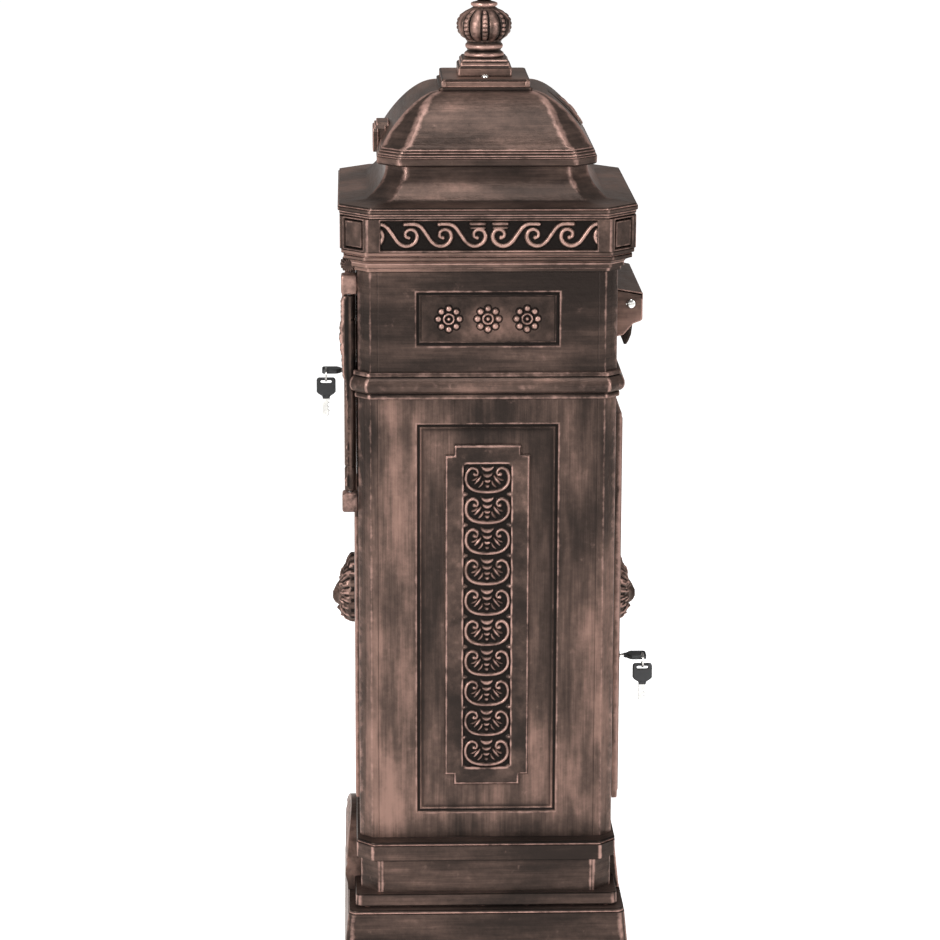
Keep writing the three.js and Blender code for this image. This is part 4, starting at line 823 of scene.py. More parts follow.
def friezeFace(width, recessHalf, scrolls):
    s = friezeSizes
    mid = 0.5 * (s["low"] + s["high"])
    a = spaced([-width / 2, -recessHalf, recessHalf, width / 2], 0.8)
    b = spaced([s["low"] - mid, -15.4, 15.4, s["high"] - mid], 0.8)
    A, Z = np.meshgrid(a, b, indexing="ij")
    inside = np.minimum(recessHalf - abs(A), 15.4 - abs(Z))
    height = -s["depth"] * smooth(inside, -0.3, 0.7)
    if scrolls:
        relief = np.where(inside > 0.6, waveScrolls(A, Z * 1.0), 0)
        wearAndShade = np.where(inside > 0.3, np.clip(-0.95 + 0.56 * relief, -0.95, 0.75), 0)
    else:
        relief = 2.8 * smooth(inside, 1.2, 2.4)
        wearAndShade = np.where((inside > 0) & (inside < 1.9), -0.8, 0) + np.exp(-((inside - 2.9) / 0.8) ** 2) * 0.45
    height = height + np.where(inside > 0.6, relief, 0)
    border = np.minimum(width / 2 - abs(A), 99)
    wearAndShade = np.maximum(wearAndShade, np.where(inside < 0, np.exp(-((inside + 0.8) / 0.9) ** 2) * 0.5, -1))
    wearAndShade = np.maximum(wearAndShade, np.where(border < 1.6, 0.5, -1))
    return slab(a, b + mid, height, -6.0, None, np.clip(wearAndShade, -1, 1))


def makeCrown():
    rows = [(z, 135 + p, 137 + p, c) for z, p, c in entablatureRows]
    rows = [(734.0, 120, 122, 8)] + rows + [(757.0, 140, 142, 20)]
    makePiece("entablature_casting", [casting(rows, radius=0.6, fade=1.3, cornerRadius=1.6, cornerFade=3.4, cornerWear=0.45)], copperLevel, "pillar", ["entablature"])
    s = friezeSizes
    (hx, hy), c = s["half"], s["cut"]
    surfaces = []
    for sign in (-1, 1):
        surfaces.append(place(friezeFace(2 * (hx - c), s["recessHalf"], True), (0, sign * hy, 0), (-sign, 0, 0), (0, 0, 1), (0, sign, 0)))
        surfaces.append(place(friezeFace(2 * (hy - c), s["recessHalf"], True), (sign * hx, 0, 0), (0, sign, 0), (0, 0, 1), (sign, 0, 0)))
        for other in (-1, 1):
            out = np.array([sign, other, 0]) / math.sqrt(2)
            middle = (sign * (hx - c / 2), other * (hy - c / 2), 0)
            surfaces.append(place(friezeFace(c * math.sqrt(2), 13.6, False), middle, (-out[1], out[0], 0), (0, 0, 1), out))
    makePiece("frieze_casting", surfaces, copperOrnament, "pillar", ["frieze"])


corniceSizes = {"half": (155, 157), "cut": 32.3, "low": 791.3, "top": 803, "skirtTop": 839, "skirtHalf": 105, "flare": 20}


def makeCornice():
    s = corniceSizes
    (x, y), c, z = s["half"], s["cut"], s["low"]
    rows = [(z, x - 8, y - 8, c - 4), (z, x - 2.4, y - 2.4, c - 2), (z + 2.0, x - 2.4, y - 2.4, c - 2), (z + 2.4, x - 1.6, y - 1.6, c - 1), (z + 4.6, x - 1.6, y - 1.6, c - 1), (z + 5.4, x, y, c),
            (z + 9.4, x, y, c), (z + 9.4, x - 1.3, y - 1.3, c), (s["top"], x - 1.3, y - 1.3, c), (s["top"] + 1.2, x - 14, y - 14, c - 4)]
    fascia = softProfile(rows, 0.6, 1.4)
    t = np.linspace(0, 1, 22)
    half = s["skirtHalf"] + s["flare"] * (1 - t) ** 2.2
    skirt = np.column_stack([s["top"] + 2.2 + t * (s["skirtTop"] - s["top"] - 2.2), half, half + 2, 20 + 2 * (1 - t), np.zeros(22)])
    # painted shade: the skirt darkens towards its foot, where it meets the fascia
    skirt[:, 4] = -0.3 * (1 - t) ** 2
    points, wearAndShade = castRings(np.vstack([fascia, skirt]), cornerRadius=1.6, cornerFade=3.6, cornerWear=0.45)
    points2, wear2 = castRings(skirt, cornerRadius=3.0, cornerFade=6.5, cornerWear=0.5, ledgeFade=False)
    points[:, -22:], wearAndShade[:, -22:] = points2, wear2
    makePiece("cornice_and_skirt", [gridSurface(points, wearAndShade, closeRows=True, capFirst=True, capLast=True)], copperLevel, "pillar", ["cornice_roof"])


# dome, its two reliefs and the cap
domeSizes = {"low": 839.3, "lipHalf": 114.4, "start": 858, "top": 910, "topHalf": 50, "spread": 58, "cut": 21}


def domeHalf(z):
    s = domeSizes
    t = np.clip((z - s["start"]) / (s["top"] - s["start"]), 0, 1)
    return s["topHalf"] + s["spread"] * (1 - t ** 1.1) ** 0.57


def makeDome():
    s = domeSizes
    z, h = s["low"], s["lipHalf"]
    lip = [(0, -8, 20, 0), (0.0, -2.4, 20, 0), (1.2, -0.2, 22.4, 0), (8.6, 0, 22.4, 0), (8.6, -1.0, 22.2, 0), (10.4, -1.0, 22.2, 0), (10.8, -1.8, 22, 0), (13.2, -1.8, 22, 0), (13.8, -3.4, 22, 0), (16.0, -3.4, 22, 0), (16.4, -4.8, 22, 0), (18.4, -5.4, 22, 0)]
    rows = softProfile([(z + dz, h + d, h + d + 2, c) for dz, d, c, _ in lip], 0.45, 1.0)
    t = 1 - (1 - np.linspace(0.02, 1, 44)) ** 1.6
    level = s["start"] + t * (s["top"] - s["start"])
    half = domeHalf(level)
    bell = np.column_stack([level, half, half + 2, s["cut"] * (1 - t * t) + 3, np.zeros(44)])
    lower, lowerWear = castRings(rows, cornerRadius=2.6, cornerFade=5.5, cornerWear=0.5)
    upper, upperWear = castRings(bell, cornerRadius=3.6, cornerFade=8.0, cornerWear=0.6, ledgeFade=False)
    points = np.concatenate([lower, upper], 1)
    wearAndShade = np.concatenate([lowerWear, upperWear], 1)
    makePiece("dome_casting", [gridSurface(points, wearAndShade, closeRows=True, capFirst=True, capLast=True)], copperLevel, "pillar", ["dome"])


def makeDomeReliefs():
    # crest on the front of the dome: leaf curls on a plate that follows the dome's curve
    a = np.linspace(-34, 34, 86)
    b = np.linspace(868.5, 904.5, 60)
    A, B = np.meshgrid(a, b, indexing="ij")
    x, z = A, (B - 884) * 1.25
    r, angle = np.hypot(x * 0.8, z + 12), np.arctan2(z + 12, x * 0.8)
    fan = (0.5 + 0.5 * np.cos(angle * 14)) * smooth(r, 4, 12) * smooth(34 - r, 0, 6)
    relief = 0.9 + 2.4 * fan + bump(x, z, 0, -12, 8, 7, 3)
    for sign in (-1, 1):
        d, along = toPath(x * sign, z, curveThrough([(6, -18), (16, -19), (25, -13), (27, -4), (21, 2), (15, -2), (17, -8)], 6))
        relief = np.maximum(relief, roundBar(d, 5.5, 4.0))
    outline = smooth(1.02 - np.hypot(A / 34, (B - 886.5) / 19), 0, 0.16)
    relief = relief * outline
    wearAndShade = np.clip(-0.7 + 0.45 * relief, -0.8, 1)
    Ac, Bc = 0.5 * (A[1:, 1:] + A[:-1, :-1]), 0.5 * (B[1:, 1:] + B[:-1, :-1])
    crest = slab(a, b, relief, -2.0, np.hypot(Ac / 34, (Bc - 886.5) / 19) < 1.0, wearAndShade)
    p = crest["points"]
    crest["points"] = np.column_stack([domeHalf(p[:, 1]) + 0.6 + p[:, 2], p[:, 0], p[:, 1]])
    makePiece("dome_crest_relief", [facingOut(crest)], copperOrnament, "pillar", ["dome_crest"])
    # stepped tablet on the rear of the dome
    steps = [((-117.9, -112), 26, 842.4, 866.5), ((-116.2, -104), 23, 844.5, 869.5), ((-114.0, -101), 20, 847, 872.6)]
    tablets = []
    for (x0, x1), half, z0, z1 in steps:
        outline = [(-half, z0), (half, z0), (half, z1 - 3), (half - 3, z1), (3 - half, z1), (-half, z1 - 3)]
        tablets.append(place(plate(outline, 0, x1 - x0, 0.7, fade=1.2), (x1, 0, 0), (0, 1, 0), (0, 0, 1), (-1, 0, 0)))
    makePiece("dome_tablet_steps", tablets, copperOrnament, "pillar", ["dome_tablet"])


def makeCap():
    rows = [(910.3, 44, 50, 2), (910.3, 49, 55, 2), (912.8, 49, 55, 2), (913.8, 47.6, 53.6, 2), (914.2, 44.5, 50.5, 2), (919.2, 44.5, 50.5, 2), (919.6, 46.2, 52.2, 2), (921.0, 46.2, 52.2, 2), (922, 45.2, 51.2, 2), (922, 30, 36, 2)]
    surfaces = [casting(rows, radius=0.5, fade=1.2, cornerRadius=1.0, cornerFade=2.2)]
    for sx in (-1, 1):
        for sy in (-1, 1):
            surfaces.append(ovalBlock((sx * 43.6, sy * 49.6, 916.7), (2.6, 2.6, 3.4), 6, 6))
    makePiece("cap_casting", surfaces, copperLevel, "pillar", ["dome_cap"])
    rows = [(922.3, 24, 25, 1), (922.3, 28.3, 29.3, 1), (931.2, 28.3, 29.3, 1), (932.6, 27.2, 28.2, 1), (933.4, 25.6, 26.6, 1), (937.0, 25.6, 26.6, 1), (938.0, 24.2, 25.2, 1), (940.0, 23.0, 24.0, 1), (940.0, 12, 12, 1)]
    makePiece("finial_square_foot", [casting(rows, radius=0.7, fade=1.4, cornerRadius=0.9, cornerFade=2.0)], copperLevel, "pillar", ["finial_plinth"])


crownSizes = {"base": 940.3, "ribs": 8, "low": 16.0, "high": 51.0, "beadPitch": 4.6}
crownProfile = [
    (0.2, 0, 0), (19.6, 0, 0), (20.8, 1.2, 0.5), (21, 2.6, 0.9), (20.4, 4.2, 0.5), (18.4, 5.6, -0.4), (17.6, 6.6, -0.8), (18.0, 7.8, -0.4), (19.4, 9.2, 0.5), (20.0, 11.0, 0.9),
    (19.6, 12.8, 0.5), (18.0, 14.6, -0.5), (18.0, 15.8, -0.8)]


def crownRipple(angle, h, radius, wearAndShade):
    # beaded ribs with a smooth lobe between each two: the arc from the nearest rib sets the height
    s = crownSizes
    sector = 2 * math.pi / s["ribs"]
    arc = abs(np.mod(angle + sector / 2, sector) - sector / 2) * radius
    width = sector * radius / 2
    zone = smooth(h, s["low"], s["low"] + 3) * smooth(s["high"] - h, 0, 3)
    bead = np.sqrt(np.clip(1 - ((np.mod(h, s["beadPitch"]) - s["beadPitch"] / 2) / (0.56 * s["beadPitch"])) ** 2, 0, 1))
    rib = np.sqrt(np.clip(1 - (arc / (0.33 * width)) ** 2, 0, 1)) * (0.1 + 2.3 * bead)
    lobe = 2.0 * np.sqrt(np.clip(1 - ((arc - width) / (0.56 * width)) ** 2, 0, 1))
    relief = np.maximum(rib, lobe)
    radius = radius + zone * (relief - 2.4)
    wearAndShade = np.where(zone > 0.02, wearAndShade * (1 - zone) + zone * np.clip(-0.95 + 0.72 * relief, -0.95, 0.6), wearAndShade)
    return radius, wearAndShade


def makeFinial():
    h = np.linspace(16.6, 51, 70)
    body = np.interp(h, [16, 19, 22.5, 27, 31, 35, 38, 42, 45, 48, 50, 51], [17.6, 21.6, 26.0, 28.6, 29.3, 29.3, 28.9, 26.8, 24.2, 19.5, 15, 12.6])
    body = average(body, 2, 0)
    top = [(12, 51.6, -0.6), (12.2, 52.6, 0), (13.8, 53.4, 0.7), (14.2, 54.8, 0.9), (13.8, 56.2, 0.7), (12, 57, 0), (8, 58, -0.5), (6.2, 59.4, -0.8), (6.4, 60.8, -0.5), (7.6, 61.8, 0.2)]
    ball = [(12.0 * math.cos(v), 70.6 + 9.6 * math.sin(v), 0.35 + 0.4 * math.sin(v)) for v in np.linspace(-1.0, 1.12, 14)]
    tip = [(4.2, 80.0, 0), (3.2, 81.0, -0.3), (3.6, 82.4, 0.4), (2.6, 83.8, 0.6), (0.3, 84.6, 0.6)]
    profile = crownProfile + [(r, z, 0) for r, z in zip(body, h)] + top + ball + tip
    crown = turned(profile, (0, 0, crownSizes["base"]), "Z", 192, crownRipple)
    makePiece("finial_ribbed_crown", [crown], copperOrnament, "pillar", ["finial_crown"])


def screwHead(centre, out, radius, height, slotHalf, slotAngle=0.0):
    # a domed head on a disc of rings and rays, with a straight slot pressed across it
    ray = np.linspace(0, 2 * math.pi, 56, endpoint=False)[:, None]
    ring = np.array([0.3, 0.12, 0.2, 0.3, 0.42, 0.55, 0.68, 0.8, 0.9, 0.97, 1.0, 1.0, 0.9])[None]
    ring[0, 0] = 0.04
    level = height * np.sqrt(np.clip(1 - (ring / 1.06) ** 2, 0.02, 1))
    level = np.broadcast_to(level, (56, 13)).copy()
    level[:, -2:] = -0.2
    x, y = radius * ring * np.cos(ray + slotAngle), radius * ring * np.sin(ray + slotAngle)
    across = radius * ring * np.sin(ray)
    groove = (1 - smooth(abs(across), slotHalf * 0.7, slotHalf * 1.3))
    level = level - np.where(level > 0, groove * 0.62 * height, 0)
    out = np.asarray(out, float)
    u = np.cross(out, [0, 0, 1.0]) if abs(out[2]) < 0.9 else np.array([1.0, 0, 0])
    v = np.cross(out, u)
    points = np.asarray(centre, float) + x[..., None] * u + y[..., None] * v + level[..., None] * out
    return gridSurface(points, -groove * (level > 0), closeRows=True, capFirst=True, capLast=True)


def makeScrews():
    makePiece("finial_screw_head", [screwHead((0, -33.8, 922.3), (0, 0, 1), 3.6, 2.3, 0.6)], brightNickel, "pillar", ["finial_screw"])
    for name, sign in (("left", -1), ("right", 1)):
        head = screwHead((151.8, sign * 88.4, 690.6), (0, sign, 0), 4.7, 2.1, 0.75, 0.12)
        shank = turned([(0.1, -13, 0), (2.0, -13, 0), (2.0, 0.5, 0), (0.1, 0.5, 0)], (151.8, sign * 88.2, 690.6), "Y", 20)
        if sign > 0:
            shank["points"][:, 1] = 88.2 + (shank["points"][:, 1] - 88.2)
        else:
            shank["points"][:, 1] = -88.2 - (shank["points"][:, 1] + 88.2)
        makePiece(f"flap_screw_head_{name}", [head, facingOut(shank)], brightNickel, "pillar", [f"flap_screw_{name}"])


# letter hood and flap
hoodSizes = {"half": 88, "wall": 4, "back": 135.3, "front": 164.5, "top": 707, "drop": 5, "bottom": 655}


def makeHood():
    s = hoodSizes
    w, x0, x1, top, drop = s["half"], s["back"], s["front"], s["top"], s["drop"]
    cover = [(x0, top), (x1 - 1, top - drop + 0.2), (x1, top - drop - 1), (x1, top - drop - 7), (x1 - 2.6, top - drop - 7), (x1 - 2.6, top - drop - 3), (x0, top - 3)]
    cheek = [(x0, top - 0.2), (x1 - 0.2, top - drop - 0.4), (x1 - 0.2, top - 33), (x1 - 2, top - 35), (x1 - 10, top - 38), (x0 + 9, top - 50), (x0, top - 52)]
    face = ((1, 0, 0), (0, 0, 1), (0, 1, 0))
    surfaces = [place(plate(cover, -w, w, 0.6, fade=0.8), (0, 0, 0), *face)]
    for low in (-w, w - s["wall"]):
        surfaces.append(place(plate(cheek, low, low + s["wall"], 0.8, fade=1.4), (0, 0, 0), *face))
    # low ribs along the roof of the hood
    for x in (143, 149, 155):
        z = top - drop * (x - x0) / (x1 - x0)
        surfaces.append(tube([(x, -w + 3, z - 0.6), (x, 0, z - 0.6), (x, w - 3, z - 0.6)], 0.55, 8))
    makePiece("letter_hood_casting", surfaces, copperLevel, "pillar", ["letter_hood"])
    # flap: a curved leaf with a rolled top and a raised border
    w = w - s["wall"] - 2
    ax, az = 151.8, 690.6
    outer = np.array([(-1, 0), (0.9, -6), (1.6, -14), (1.6, -24), (0.4, -34), (-2.4, -41), (-4.6, -44.6)])
    z = np.linspace(0, -44.6, 46)
    x = np.interp(-z, -outer[:, 1], outer[:, 0])
    a = graded(-w, w, [-w + 5, w - 5], 0.8, 4, 8)
    A, Z = np.meshgrid(a, z[::-1], indexing="ij")
    X = np.broadcast_to(x[::-1], A.shape)
    border = np.minimum(w - abs(A), np.minimum(44.6 + Z, -Z - 6))
    raised = 0.8 * (1 - smooth(border, 4.4, 5.4))
    wearAndShade = np.where(abs(border - 4.6) < 1.0, 0.5, 0) + np.where(border < 1.2, 0.6, 0)
    leaf = slab(a, z[::-1], X + raised, X[:1].min() * 0, None, np.clip(wearAndShade, 0, 1))
    half = len(a) * len(z)
    leaf["points"][half:, 2] = (X - 1.8).reshape(-1)
    leaf["points"] = np.column_stack([ax + leaf["points"][:, 2], leaf["points"][:, 0], az + leaf["points"][:, 1]])
    roll = turned([(0.3, -w, 0), (3.9, -w, 0.5), (4.4, -w + 0.6, 0.8), (4.4, w - 0.6, 0.8), (3.9, w, 0.5), (0.3, w, 0)], (ax, 0, az), "Y", 24)
    makePiece("letter_flap_leaf", [facingOut(leaf), roll], copperInside, "flap", ["letter_flap"])


# doors
leafSizes = {"inner": 136.5, "outer": 142.5, "free": 108, "pivot": 113, "axis": 143.5, "barrel": 6}


def borderMould(A, B, y0, y1, z0, z1, inset, width, height):
    # a raised moulding that runs round a door at a distance from its edge
    edge = np.minimum(np.minimum(A - y0, y1 - A), np.minimum(B - z0, z1 - B))
    t = (edge - inset) / width
    ridge = np.sqrt(np.clip(1 - (2 * t - 1) ** 2, 0, 1))
    return height * ridge, np.where((t > 0) & (t < 1), ridge * 1.1 - 0.2, np.where(abs(t - 0.5) < 0.9, -0.5, 0.0)), edge


def doorSurfaces(side, hand, low, high):
    # the leaf, as seen from outside, with its pivot barrel in three knuckles' worth of rings
    s = leafSizes
    y0, y1 = sorted((hand * s["pivot"], -hand * s["free"]))
    a = graded(y0, y1, [y0 + 9, y1 - 9], 0.7, 9, 9)
    b = graded(low, high, [low + 9, high - 9], 0.7, 9, 9)
    A, B = np.meshgrid(a, b, indexing="ij")
    ridge, wearAndShade, edge = borderMould(A, B, y0, y1, low, high, 6.0, 4.6, 1.4)
    height = ridge + np.interp(edge, [0, 1.0], [-1.0, 0])
    wearAndShade = np.maximum(wearAndShade, np.where(edge < 1.4, 0.8, -1))
    leaf = place(slab(a, b, height, -(s["outer"] - s["inner"]) + 0.1, None, np.clip(wearAndShade, -1, 1)), (side * s["outer"], 0, 0), (0, 1, 0), (0, 0, 1), (side, 0, 0))
    rings = [(0.4, low), (5.0, low), (5.9, low + 0.9)]
    for groove in (low + 26, high - 26):
        rings += [(5.9, groove - 1.6), (5.2, groove - 0.5), (5.2, groove + 0.5), (5.9, groove + 1.6)]
    rings += [(5.9, high - 0.9), (5.0, high), (0.4, high)]
    barrel = turned([(r, z, 0.1 if r > 5.5 else -0.5) for r, z in rings], (side * s["axis"], hand * s["pivot"], 0), "Z", 28)
    return [leaf, barrel]


def shell(A, B, cy, cz, ry, rz, flutes, height):
    # a scallop shell: flutes fan out from a root below the middle
    y, z = (A - cy) / ry, (B - cz) / rz
    r, angle = np.hypot(y, z + 0.85), np.arctan2(y, z + 0.85)
    edge = 1.72 + 0.07 * np.cos(angle * flutes * 2)
    body = smooth(edge - r, 0, 0.22) * smooth(abs(angle) * -1 + 1.25, 0, 0.12)
    flute = 0.62 + 0.38 * np.cos(angle * flutes * 2)
    return height * body * (0.35 + 0.65 * flute) * (0.55 + 0.45 * np.sqrt(np.clip(r / 1.7, 0, 1)))


def scrollPair(A, B, line, width, height):
    d, along = toPath(abs(A), B, curveThrough(line, 6))
    return roundBar(d, width * (1 - 0.35 * along), height)


def reliefPiece(name, A, B, a, b, relief, floor, side, faceX, body, nodes, depth=-1.0):
    # keeps the cells where the ornament stands up, and rubs its high ground
    h = np.maximum(relief, floor)
    c = 0.25 * (relief[1:, 1:] + relief[:-1, :-1] + relief[1:, :-1] + relief[:-1, 1:])
    wearAndShade = np.clip(0.9 * standProud(h, 4, 1.0) + 0.06 * h - 0.15, -0.9, 1)
    surface = place(slab(a, b, h, depth, c > 0.25, wearAndShade), (side * faceX, 0, 0), (0, 1, 0), (0, 0, 1), (side, 0, 0))
    return makePiece(name, [surface], copperOrnament, body, nodes)


def makeRearDoor():
    z0, z1 = 497, 706
    makePiece("rear_door_leaf", doorSurfaces(-1, -1, z0, z1), copperUp, "rear_door", ["rear_door"])
    a, b = np.linspace(-60, 60, 151), np.linspace(505, 724, 260)
    A, B = np.meshgrid(a, b, indexing="ij")
    # crest: a shell over two scrolls, in a beaded oval border
    oval = np.hypot(A / 60, (B - 662) / 62)
    relief = 3.4 * smooth(1.0 - oval, 0, 0.05) + 2.2 * np.exp(-((oval - 0.92) / 0.035) ** 2)
    relief += shell(A, B, 0, 672, 26, 26, 9, 5.4)
    relief += scrollPair(A, B, [(2, 640), (14, 632), (30, 634), (40, 646), (38, 658), (28, 662), (22, 654), (27, 648)], 8, 4.5) * (oval < 0.9)
    relief += bump(A, B, 0, 642, 9, 9, 4.5)
    turn = np.arctan2((B - 662) / 62, A / 60)
    relief += 1.2 * smooth(1 - abs(oval - 0.8) / 0.035, 0, 1) * (0.5 + 0.5 * np.cos(turn * 56))
    # leaf drop under the crest, made of stacked lobes
    drop = np.zeros(A.shape)
    for i in range(5):
        cz, rz, ry = 594 - i * 18, 13, 33 - 4.5 * i
        drop = np.maximum(drop, bump(A, B, 0, cz, ry, rz, 4.3) * (0.7 + 0.3 * np.cos(A / ry * 9)))
    drop = np.maximum(drop, scrollPair(A, B, [(4, 590), (16, 598), (30, 592), (34, 578), (25, 570), (17, 576), (21, 583)], 7, 4.4))
    relief = np.clip(np.maximum(relief * (oval < 1.0), drop), 0, 10.0)
    reliefPiece("rear_door_crest", A, B, a, b, relief, 0, -1, 142.8, "rear_door", ["rear_door_relief"], 0.1)


edgeOutline = np.array([
    (499.5, 3.6), (503, 6.6), (508, 7.4), (513, 6.4), (517, 4.4), (526, 5.2), (536, 4.2), (548, 5.0), (560, 4.2), (572, 5.2), (584, 4.0),
    (594, 3.8), (600, 5.2), (612, 5.8), (618, 8.4), (626, 9.6), (640, 9.8), (652, 10.8), (668, 11.4), (680, 10.4), (692, 10.6), (700, 9.8), (704.5, 7.6)])


def makeRearEdge():
    # lobed scrolls cast along the hinge edge of the rear door: the outline sets how far they stand out
    a, b = np.linspace(-119.1, -102, 24), np.linspace(499.5, 704.5, 300)
    A, B = np.meshgrid(a, b, indexing="ij")
    outline = np.interp(B, edgeOutline[:, 0], edgeOutline[:, 1])
    lobes = abs(np.sin(math.pi * (B - 500) / 12.8)) ** 0.6 * (1.1 + 0.6 * np.sin(B / 9.3)) + 0.3 * np.sin(B * 1.1 + A * 0.8)
    round_ = 1 - 0.3 * abs((A + 110.6) / 8.7) ** 3
    height = (outline - 1.0) * round_ + lobes
    # the near edge slopes back so that it clears the wall when the door stands open
    height = np.minimum(height, 1 + (6.5 - 0.94 * (-113 - A)) / 0.342)
    wearAndShade = np.clip(1.0 * standProud(height, 3, 0.7) - 0.05, -0.9, 0.7)
    strip = place(slab(a, b, height, -0.4, None, wearAndShade), (-142.5, 0, 0), (0, 1, 0), (0, 0, 1), (-1, 0, 0))
    makePiece("rear_door_edge_scrolls", [strip], copperOrnament, "rear_door")
    # ribbed rolls under the entablature, above the hinge blocks
    rolls = []
    for y in (-113, 113):
        ribs = lambda angle, h, radius, wearAndShade: (radius + 0.8 * np.cos(angle * 16) * (radius > 5), wearAndShade + 0.45 * np.cos(angle * 16))
        rolls.append(turned([(0.3, -9.4, 0), (6.0, -9.4, 0), (7.6, -8.2, 0), (8.0, -4, 0), (8.0, 4, 0), (7.6, 8.2, 0), (6.0, 9.4, 0), (0.3, 9.4, 0)], (-143.9, y, 738.6), "Y", 128, ribs))
    makePiece("rear_corner_rolls", rolls, copperOrnament, "pillar")


def makeFrontDoor():
    z0, z1 = 152, 578
    surfaces = doorSurfaces(1, 1, z0, z1)
    makePiece("front_door_leaf", surfaces, copperUp, "front_door", ["front_door"])
    a, b = np.linspace(-62, 62, 156), np.linspace(400, 502, 130)
    A, B = np.meshgrid(a, b, indexing="ij")
    relief = shell(A, B, 0, 452, 34, 17, 7, 6.2)
    relief = np.maximum(relief, scrollPair(A, B, [(2, 434), (18, 428), (36, 432), (50, 444), (48, 456), (38, 458), (34, 450), (40, 446)], 7, 4.0))
    relief = np.maximum(relief, bump(A, B, 0, 490, 14, 9, 4))
    relief = np.maximum(relief, 2.0 * smooth(60 - abs(A), 0, 2) * smooth(2.4 - abs(B - 408), 0, 1.2))
    reliefPiece("front_door_crest", A, B, a, b, relief, 0, 1, 142.4, "front_door", [], 0.1)


def makeRearPlate():
    a = graded(-98, 98, [-86, 86], 0.7, 8, 10)
    b = graded(152, 464, [164, 452], 0.7, 8, 10)
    A, B = np.meshgrid(a, b, indexing="ij")
    edge = np.minimum(98 - abs(A), np.minimum(B - 152, 464 - B))
    height = np.interp(edge, [0, 1, 9, 10.2, 11.2, 12.4, 13.4], [-0.8, 0, 0, -0.6, -0.5, -1.5, -1.5])
    wearAndShade = np.interp(edge, [0, 1.6, 2.4, 8.4, 9.2, 10.2, 11.4, 12.6, 15], [0.9, 0.6, 0, 0, 0.8, -0.4, 0.6, -0.6, 0])
    plateFace = place(slab(a, b, height, -4.55, None, wearAndShade), (-139.5, 0, 0), (0, 1, 0), (0, 0, 1), (-1, 0, 0))
    makePiece("rear_lower_panel", [plateFace], copperUp, "pillar", ["rear_lower_plate"])


# lion masks
maskSizes = {"z": 355, "halfY": 27, "halfZ": 34, "out": 25}


def lionHeight(y, z):
    # a plain lion's face as a sum of swells, with mane locks in two rows round it and a tuft above;
    # everything is measured from the middle of the face
    m = abs(y)
    r, angle = np.hypot(y / 27, z / 34), np.arctan2(y, z)
    head = 16.0 * np.clip(1 - r ** 2, 0, 1) ** 0.33
    innerRow = smooth(0.80 + 0.05 * np.cos(12 * angle) - r, 0, 0.07) * smooth(r, 0.46, 0.56)
    outerRow = smooth(r, 0.72, 0.80) * smooth(1.03 - r, 0, 0.12)
    locks = innerRow * (1.6 + 1.5 * np.cos(12 * angle + 4 * np.sin(angle) * r)) + outerRow * (0.9 + 1.3 * np.cos(17 * angle - 3 * r))
    locks = locks + 0.5 * np.cos(36 * angle) * smooth(r, 0.55, 0.65) * smooth(1.0 - r, 0, 0.1)
    face = 2.2 * smooth(1 - np.hypot(y / 14, (z + 1) / 17), 0, 0.2)
    brow = 2.4 * np.exp(-(((m - 6.2) / 4.4) ** 2 + ((z - 8.6 + 0.15 * m) / 2.3) ** 2))
    eye = -2.6 * np.exp(-(((m - 6.6) / 2.7) ** 2 + ((z - 4.4) / 1.8) ** 2)) + 1.7 * np.exp(-(((m - 6.6) / 1.5) ** 2 + ((z - 4.2) / 1.1) ** 2))
    bridge = 3.4 * np.exp(-((y / 3.0) ** 2)) * smooth(z, -12, -2) * smooth(16 - z, 0, 12)
    snout = 5.0 * np.exp(-((y / 8.5) ** 2 + ((z + 5.5) / 9.0) ** 2))
    muzzle = 2.0 * np.exp(-(((m - 3.8) / 3.0) ** 2 + ((z + 9.5) / 3.2) ** 2))
    nose = 1.4 * np.exp(-((y / 3.2) ** 2 + ((z + 4.8) / 2.0) ** 2))
    mouth = -3.4 * np.exp(-((y / 7.0) ** 2 + ((z + 14.0 + 0.05 * m) / 1.3) ** 2)) - 1.8 * np.exp(-((y / 0.8) ** 2 + ((z + 10.5) / 3.2) ** 2))
    chin = 3.2 * np.exp(-((y / 5) ** 2 + ((z + 17.6) / 3) ** 2))
    ear = 3.0 * np.exp(-(((m - 13.4) / 3.0) ** 2 + ((z - 14.5) / 3.2) ** 2)) - 1.6 * np.exp(-(((m - 13.4) / 1.4) ** 2 + ((z - 14) / 1.7) ** 2))
    tuft = 11.5 * np.sqrt(np.clip(1 - (y / 15) ** 2 - ((z - 24) / 22) ** 2, 0, 1)) + 0.6 * np.cos(y * 1.6) * (z > 20)
    whole = head + locks + face + brow + eye + bridge + snout + muzzle + nose + mouth + chin + ear
    return np.clip(np.maximum(whole, tuft), 0, maskSizes["out"])


def makeMasks():
    s = maskSizes
    ray = np.linspace(0, 2 * math.pi, 240, endpoint=False)[:, None]
    ring = np.append(np.linspace(0.006, 1, 92) ** 0.9, [1.0])[None]
    scallop = 1 - 0.04 * (0.5 + 0.5 * np.cos(ray * 17)) * ring ** 6
    fromTop = np.minimum(ray, 2 * math.pi - ray)
    scallop = scallop + 0.33 * np.exp(-(fromTop / 0.42) ** 2) * ring ** 2
    y, z = s["halfY"] * ring * scallop * np.sin(ray), s["halfZ"] * ring * scallop * np.cos(ray)
    height = lionHeight(y, z)
    wearAndShade = np.clip(1.1 * standProud(height, 3, 1.0) + 0.012 * height - 0.12, -0.9, 0.8)
    height[:, -1] = 0
    height[:, -2] = np.maximum(height[:, -2], 0.8)
    for name, side, face, body, node in (("rear", -1, 138.3, "pillar", "rear_lion_mask"), ("front", 1, 142.8, "front_door", "front_lion_mask")):
        points = np.stack([side * (face + height), y, s["z"] + z], -1)
        mask = gridSurface(points, wearAndShade, closeRows=True, capFirst=True, capLast=True)
        makePiece(f"{name}_lion_face", [mask], copperOrnament, body, [node])


